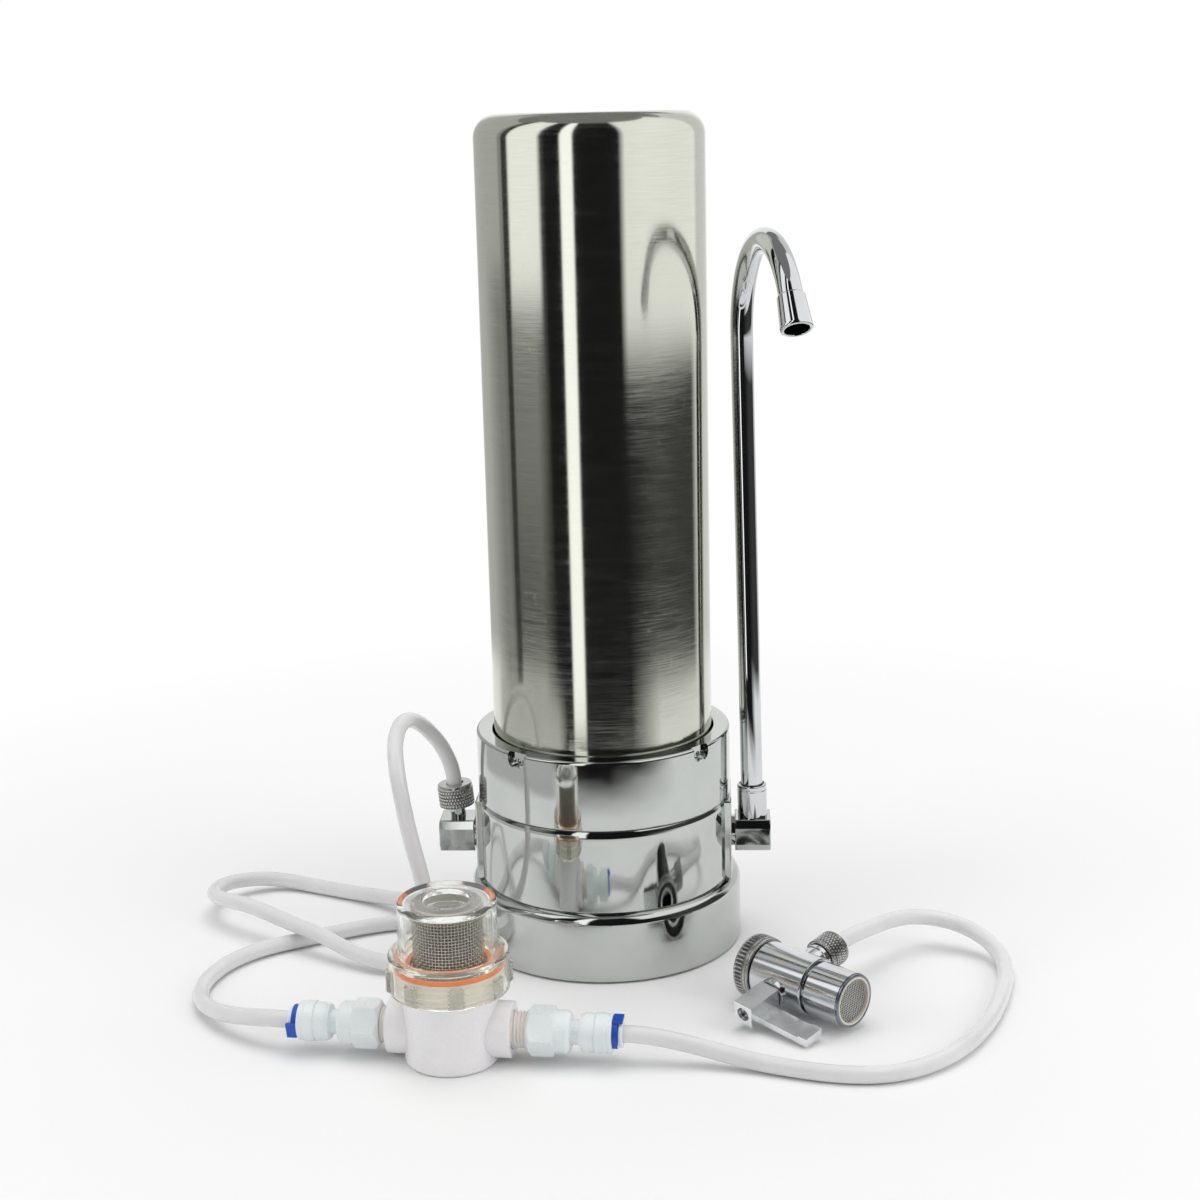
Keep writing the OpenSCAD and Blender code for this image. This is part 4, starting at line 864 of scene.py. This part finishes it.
# Push fittings, with hexagon, thread and grip rings
HEX_START, HEX_END, HEX_HALF = 26.1, 36.3, 8.1
FITTING_THREAD_R, FITTING_PITCH = 6.95, 1.35
FITTING_LINE = [
    (3, 15.3), (FITTING_THREAD_R, 15.3), (FITTING_THREAD_R, 26.05), (7.4, 26.15, 0.2),
    (9.35, 27.8), (9.35, 35.5),
    (8.9, 36.0), (8.1, 36.25), (7.9, 36.4), (7.9, 40.7, 0.3), (6.9, 42.0, 0.3), (4.6, 42.0, 0.5),
    (4.6, 45.5, 0.5), (6.4, 45.5, 0.3), (7.1, 47.1, 0.3), (7.15, 50.6), (6.95, 50.8), (6.95, 51.0),
    (7.5, 51.4, 0.3), (7.5, 54.8, 0.3), (7.15, 55.2), (7.15, 57.4, 0.4), (4.4, 57.4, 0.2),
    (4.4, 53.1), (3.4, 53.1), (3.4, 48.4), (3, 48.4)]


def fitting_shape(r, a, z):
    if HEX_START < z < HEX_END and r > 7.95:
        w = (a + math.pi / 6) % (math.pi / 3) - math.pi / 6
        return min(r, HEX_HALF / math.cos(w))
    if z < HEX_START and abs(r - FITTING_THREAD_R) < 0.02:
        return r - 0.75 * off_crest(a, z, FITTING_PITCH)
    return r


for label, place in (("a", FITTING_A), ("b", FITTING_B @ move(0, 0, FITTING_B_OUT))):
    body = turned("push_fitting_" + label, FITTING_LINE, place, seg=144, pitch=0.35, steps=4,
                  angle=36, shape=fitting_shape)
    dress(body, FITTING, "stand", "fitting", "fitting_body_" + label)
    paint(body, THREAD, [face for face, c in faces_from(body, place) if c.z < HEX_START])
    keep_node("collet_" + label, FITTING)
    keep_node("lock_clip_" + label, CLIP, bevel=0.25)


# Diverter: valve barrel, swivel nut, outlet sleeve, tube nut
def make_valve_barrel():
    bm = bmesh.new()
    add_turned(bm, [
        (5.6, 3.2), (10.6, 3.2, 0.2), (10.6, 4.5, 0.2), (9.4, 4.5), (9.4, 7.3), (11.4, 7.3, 0.6),
        (11.4, 32.2, 0.6), (9.25, 32.2), (9.25, 39), (7, 39), (7, 8), (5.6, 8)],
        DIVERTER_BARREL, seg=144)
    add_turned(bm, [(3.66, 8), (5.6, 8), (5.6, 12.7, 0.4), (3.66, 12.7)], LEVER_AXIS, seg=72)
    add_turned(bm, [
        (1.6, 8), (6, 8), (6, 14.0, 0.2), (5.6, 14.3), (5.6, 14.8), (6, 15.1, 0.2), (6, 17, 0.4),
        (5, 17), (5, 20), (1.6, 20)], TUBE_PORT, seg=72)
    return make_piece("valve_barrel", bm)


dress(make_valve_barrel(), VALVE_CHROME, "stand", "chrome", "diverter_body")
make_nut("swivel_grip", [
    (10.9, 0, 0.2), (12.1, 0, 0.3), (12.5, 0.5, 0.1), (12.5, 4.3), (12.0, 4.5), (12.0, 4.8),
    (12.4, 5.0), (12.4, 5.7), (12.0, 5.9), (12.0, 6.2), (12.3, 6.4), (12.2, 7.0, 0.4), (9.8, 7.0),
    (9.8, 5.9), (11.2, 5.9), (11.2, 3.0), (10.9, 3.0)],
    DIVERTER_BARREL, 0.25, "swivel_nut", "diverter_nut", straight_knurl,
    radius=12.5, low=0.6, high=4.2, depth=0.45)
RIM_START = 48.55
outlet_sleeve = turned("outlet_sleeve", [
    (9.3, 33.2, 0.1), (10.5, 33.2, 0.5), (10.5, 48.6), (10.3, 48.8), (10.3, 49.9, 0.5),
    (9.3, 49.9, 0.2)], DIVERTER_BARREL, seg=144)
dress(outlet_sleeve, VALVE_CHROME, "stand", "chrome", "diverter_outlet")
paint(outlet_sleeve, RIM_CHROME, [face for face, c in faces_from(outlet_sleeve, DIVERTER_BARREL)
                                  if c.z > RIM_START])
make_nut("tube_grip", [
    (3.6, 27.0, 0.3), (3.6, 21.3), (5.4, 21.3), (5.4, 17.3), (7.0, 17.3, 0.5), (7.0, 25.4),
    (6.6, 25.6), (6.6, 25.9), (6.9, 26.1), (6.7, 27.0, 0.5)],
    TUBE_PORT, 0.2, "tube_nut", "diverter_tube_nut", dash_knurl,
    radius=7.0, low=17.9, high=25.3, depth=0.55)


# Woven gauze over a near-black disc in the outlet: painted shade under the gauze
def make_outlet_gauze():
    bm, pitch, radius, level, weave, wire = bmesh.new(), 1.0, 8.45, 48.3, 0.11, 0.19
    count = int(radius / pitch)
    for way in (0, 1):
        for k in range(-count, count + 1):
            at, half = k * pitch, math.sqrt(radius**2 - (k * pitch) ** 2)
            parts = max(4, int(2 * half / pitch * 2))
            points = []
            for j in range(parts + 1):
                s = -half + 2 * half * j / parts
                rise = weave * (-1) ** (k + way) * math.cos(math.pi * s / pitch)
                spot = Vector((at, s, level + rise)) if way else Vector((s, at, level - rise))
                points.append(DIVERTER_BARREL @ spot)
            add_wire(bm, points, wire, False)
    wires = len(bm.faces)
    add_turned(bm, [(0, 47.7), (radius, 47.7), (radius, 47.9), (0, 47.9)], DIVERTER_BARREL,
               seg=64, closed=False)
    return make_piece("outlet_gauze", bm, even=False), wires


gauze, wire_faces = make_outlet_gauze()
dress(gauze, WIRE, "stand", "mesh", "diverter_screen")
# the disc under the wires: painted shade
paint(gauze, SHADE_BACKING, gauze.data.polygons[wire_faces:])


# Pieces whose solids already have the right shape
KEPT = (
    (CHROME, ("inlet_nipple", "outlet_nipple", "inlet_stem")),
    (RUBBER, ("foot_pad", "canister_seal", "cartridge_oring", "port_seals", "spout_orings",
              "fitting_orings", "stem_orings", "diverter_washer")),
    (CARTRIDGE, ("cartridge_bottom_cap", "cartridge_shell", "cartridge_top_cap")),
    (BRASS, ("inlet_ferrule", "diverter_ferrule", "diverter_stem")),
    (SCREW, ("base_screws", "lever_screw")),
    (CARBON, ("cartridge_media",)),
    (CREAM, ("diverter_ring",)))
for material, names in KEPT:
    for name in names:
        keep_node(name, material)
keep_node("diverter_lever", LEVER_CHROME, bevel=0.55)


# Stage: pale floor, white surroundings, cards around the part, soft lamps
def stage_piece(name, bm):
    mesh = bpy.data.meshes.new(name)
    bm.to_mesh(mesh)
    bm.free()
    piece = bpy.data.objects.new(name, mesh)
    scene.collection.objects.link(piece)
    material, tree, surface = new_material(name)
    mesh.materials.append(material)
    return piece, tree, surface


# The floor keeps the shadow near the part and turns white farther out
def make_floor():
    shadow_end, white_start = 0.17, 0.50
    bm = bmesh.new()
    bmesh.ops.create_circle(bm, cap_ends=True, segments=96, radius=4.0)
    floor, tree, surface = stage_piece("studio_floor", bm)
    put(surface, Roughness=0.9, Base_Color=(0.90, 0.90, 0.90, 1), Specular_IOR_Level=0.0)
    place = add(tree, "ShaderNodeTexCoord")
    far = add(tree, "ShaderNodeVectorMath", operation="LENGTH")
    tree.links.new(place.outputs["Object"], far.inputs[0])
    white = put(add(tree, "ShaderNodeEmission"), Strength=1.0)
    mix_surfaces(tree, ramp(tree, far.outputs["Value"], shadow_end, white_start), surface, white)


# White to the camera, to mirrors and through clear plastic, dimmer as a light
def make_world():
    dim, full = 0.42, 1.0
    world = bpy.data.worlds.new("white_room")
    scene.world = world
    world.use_nodes = True
    tree = world.node_tree
    back = put(tree.nodes["Background"], Color=(1, 1, 1, 1))
    rays = add(tree, "ShaderNodeLightPath")
    bent = math_node(tree, "MAXIMUM", rays.outputs["Is Glossy Ray"],
                     rays.outputs["Is Transmission Ray"])
    seen = math_node(tree, "MAXIMUM", rays.outputs["Is Camera Ray"], bent)
    tree.links.new(ramp(tree, seen, 0, 1, dim, full), back.inputs["Strength"])


# What only the polished metal sees; light that has passed a clear moulding goes through
def mirror_only(piece, tree, mask, strength):
    tone = put(add(tree, "ShaderNodeEmission"), Strength=strength)
    rays = add(tree, "ShaderNodeLightPath")
    outside = math_node(tree, "LESS_THAN", rays.outputs["Transmission Depth"], 0.5)
    through = add(tree, "ShaderNodeBsdfTransparent")
    mix_surfaces(tree, math_node(tree, "MULTIPLY", outside, mask), through, tone)
    piece.visible_camera = piece.visible_diffuse = False
    piece.visible_shadow = piece.visible_transmission = False


# A curved card round the part's axis; its sides and foot fade out
def make_card(name, radius, start, end, low, high, strength, fade_left, fade_right, fade_low):
    bm, parts = bmesh.new(), 40
    angles = [math.radians(start + (end - start) * k / parts) for k in range(parts + 1)]
    foot, top = ([bm.verts.new((radius * math.sin(w), -radius * math.cos(w), z)) for w in angles]
                 for z in (low, high))
    for k in range(parts):
        bm.faces.new((foot[k], foot[k + 1], top[k + 1], top[k]))
    card, tree, _ = stage_piece(name, bm)
    place = add(tree, "ShaderNodeTexCoord")
    split = add(tree, "ShaderNodeSeparateXYZ")
    tree.links.new(place.outputs["Object"], split.inputs[0])
    front = math_node(tree, "MULTIPLY", split.outputs["Y"], -1.0)
    angle = math_node(tree, "ARCTAN2", split.outputs["X"], front)
    degrees = math_node(tree, "MULTIPLY", angle, 180 / math.pi)
    left = ramp(tree, degrees, start, start + fade_left)
    right = ramp(tree, degrees, end, end - fade_right)
    rise = ramp(tree, split.outputs["Z"], low, low + fade_low)
    mask = math_node(tree, "MULTIPLY", math_node(tree, "MULTIPLY", left, right), rise)
    mirror_only(card, tree, mask, strength)


def make_ceiling(height, radius, strength):
    bm = bmesh.new()
    bmesh.ops.create_circle(bm, cap_ends=True, segments=64, radius=radius,
                            matrix=move(0, 0, height))
    ceiling, tree, _ = stage_piece("grey_ceiling", bm)
    mirror_only(ceiling, tree, 1.0, strength)


def make_lamp(name, place, aim, size, power):
    data = bpy.data.lights.new(name, "AREA")
    data.shape, data.size, data.size_y, data.energy = "RECTANGLE", size, size, power
    lamp = bpy.data.objects.new(name, data)
    lamp.location = place
    lamp.rotation_mode = "QUATERNION"
    lamp.rotation_quaternion = (Vector(aim) - Vector(place)).to_track_quat("-Z", "Y")
    lamp.visible_camera = False
    scene.collection.objects.link(lamp)


# Name, radius, start and end angle, foot, top, strength, fades at left, right and foot
CARDS = (
    ("left_back_wall", 0.44, -165, -90, 0.0, 0.85, 0.52, 12, 2, 0.02),
    ("left_shade", 0.435, -128, -86, -0.1, 0.25, 0.27, 26, 2, 0.07),
    ("right_back_wall", 0.44, 113, 165, 0.0, 0.85, 0.76, 2, 12, 0.02),
    ("left_low_wall", 0.43, -96, -30, 0.0, 0.85, 0.08, 10, 3, 0.02),
    ("left_wall", 0.42, -96, -30, 0.03, 0.85, 0.25, 10, 3, 0.12),
    ("right_wall", 0.42, 20, 120, 0.0, 0.85, 0.05, 3, 8, 0.02),
    ("left_flag", 0.26, -125, -30, 0.0, 0.05, 0.58, 10, 10, 0.004),
    ("dark_card", 0.30, -52, 62, 0.0, 0.85, 0.010, 14, 30, 0.006),
    ("panel_edge", 0.295, -88, -79, 0.0, 0.85, 0.045, 2, 2, 0.006),
    ("left_panel", 0.29, -80, -42, 0.232, 0.85, 1.2, 3, 4, 0.025),
    ("right_panel", 0.29, 29, 124, 0.205, 0.85, 1.1, 6, 5, 0.03),
    ("stripe_card", 0.285, -24.5, -11.0, 0.0, 0.85, 1.45, 2, 2, 0.006),
    ("low_card", 0.24, -26, 64, 0.0, 0.036, 0.010, 4, 56, 0.02))
make_floor()
make_world()
make_ceiling(0.85, 0.8, 0.22)
for card in CARDS:
    make_card(*card)
make_lamp("top_softbox", (0.0, 0.15, 1.5), (0, -0.02, 0.05), 1.4, 13)
make_lamp("left_softbox", (-1.2, -0.5, 0.8), (0, 0, 0.12), 0.9, 4)
make_lamp("right_softbox", (1.2, -0.5, 0.8), (0, 0, 0.12), 0.9, 6)
scene.view_settings.view_transform = "Standard"
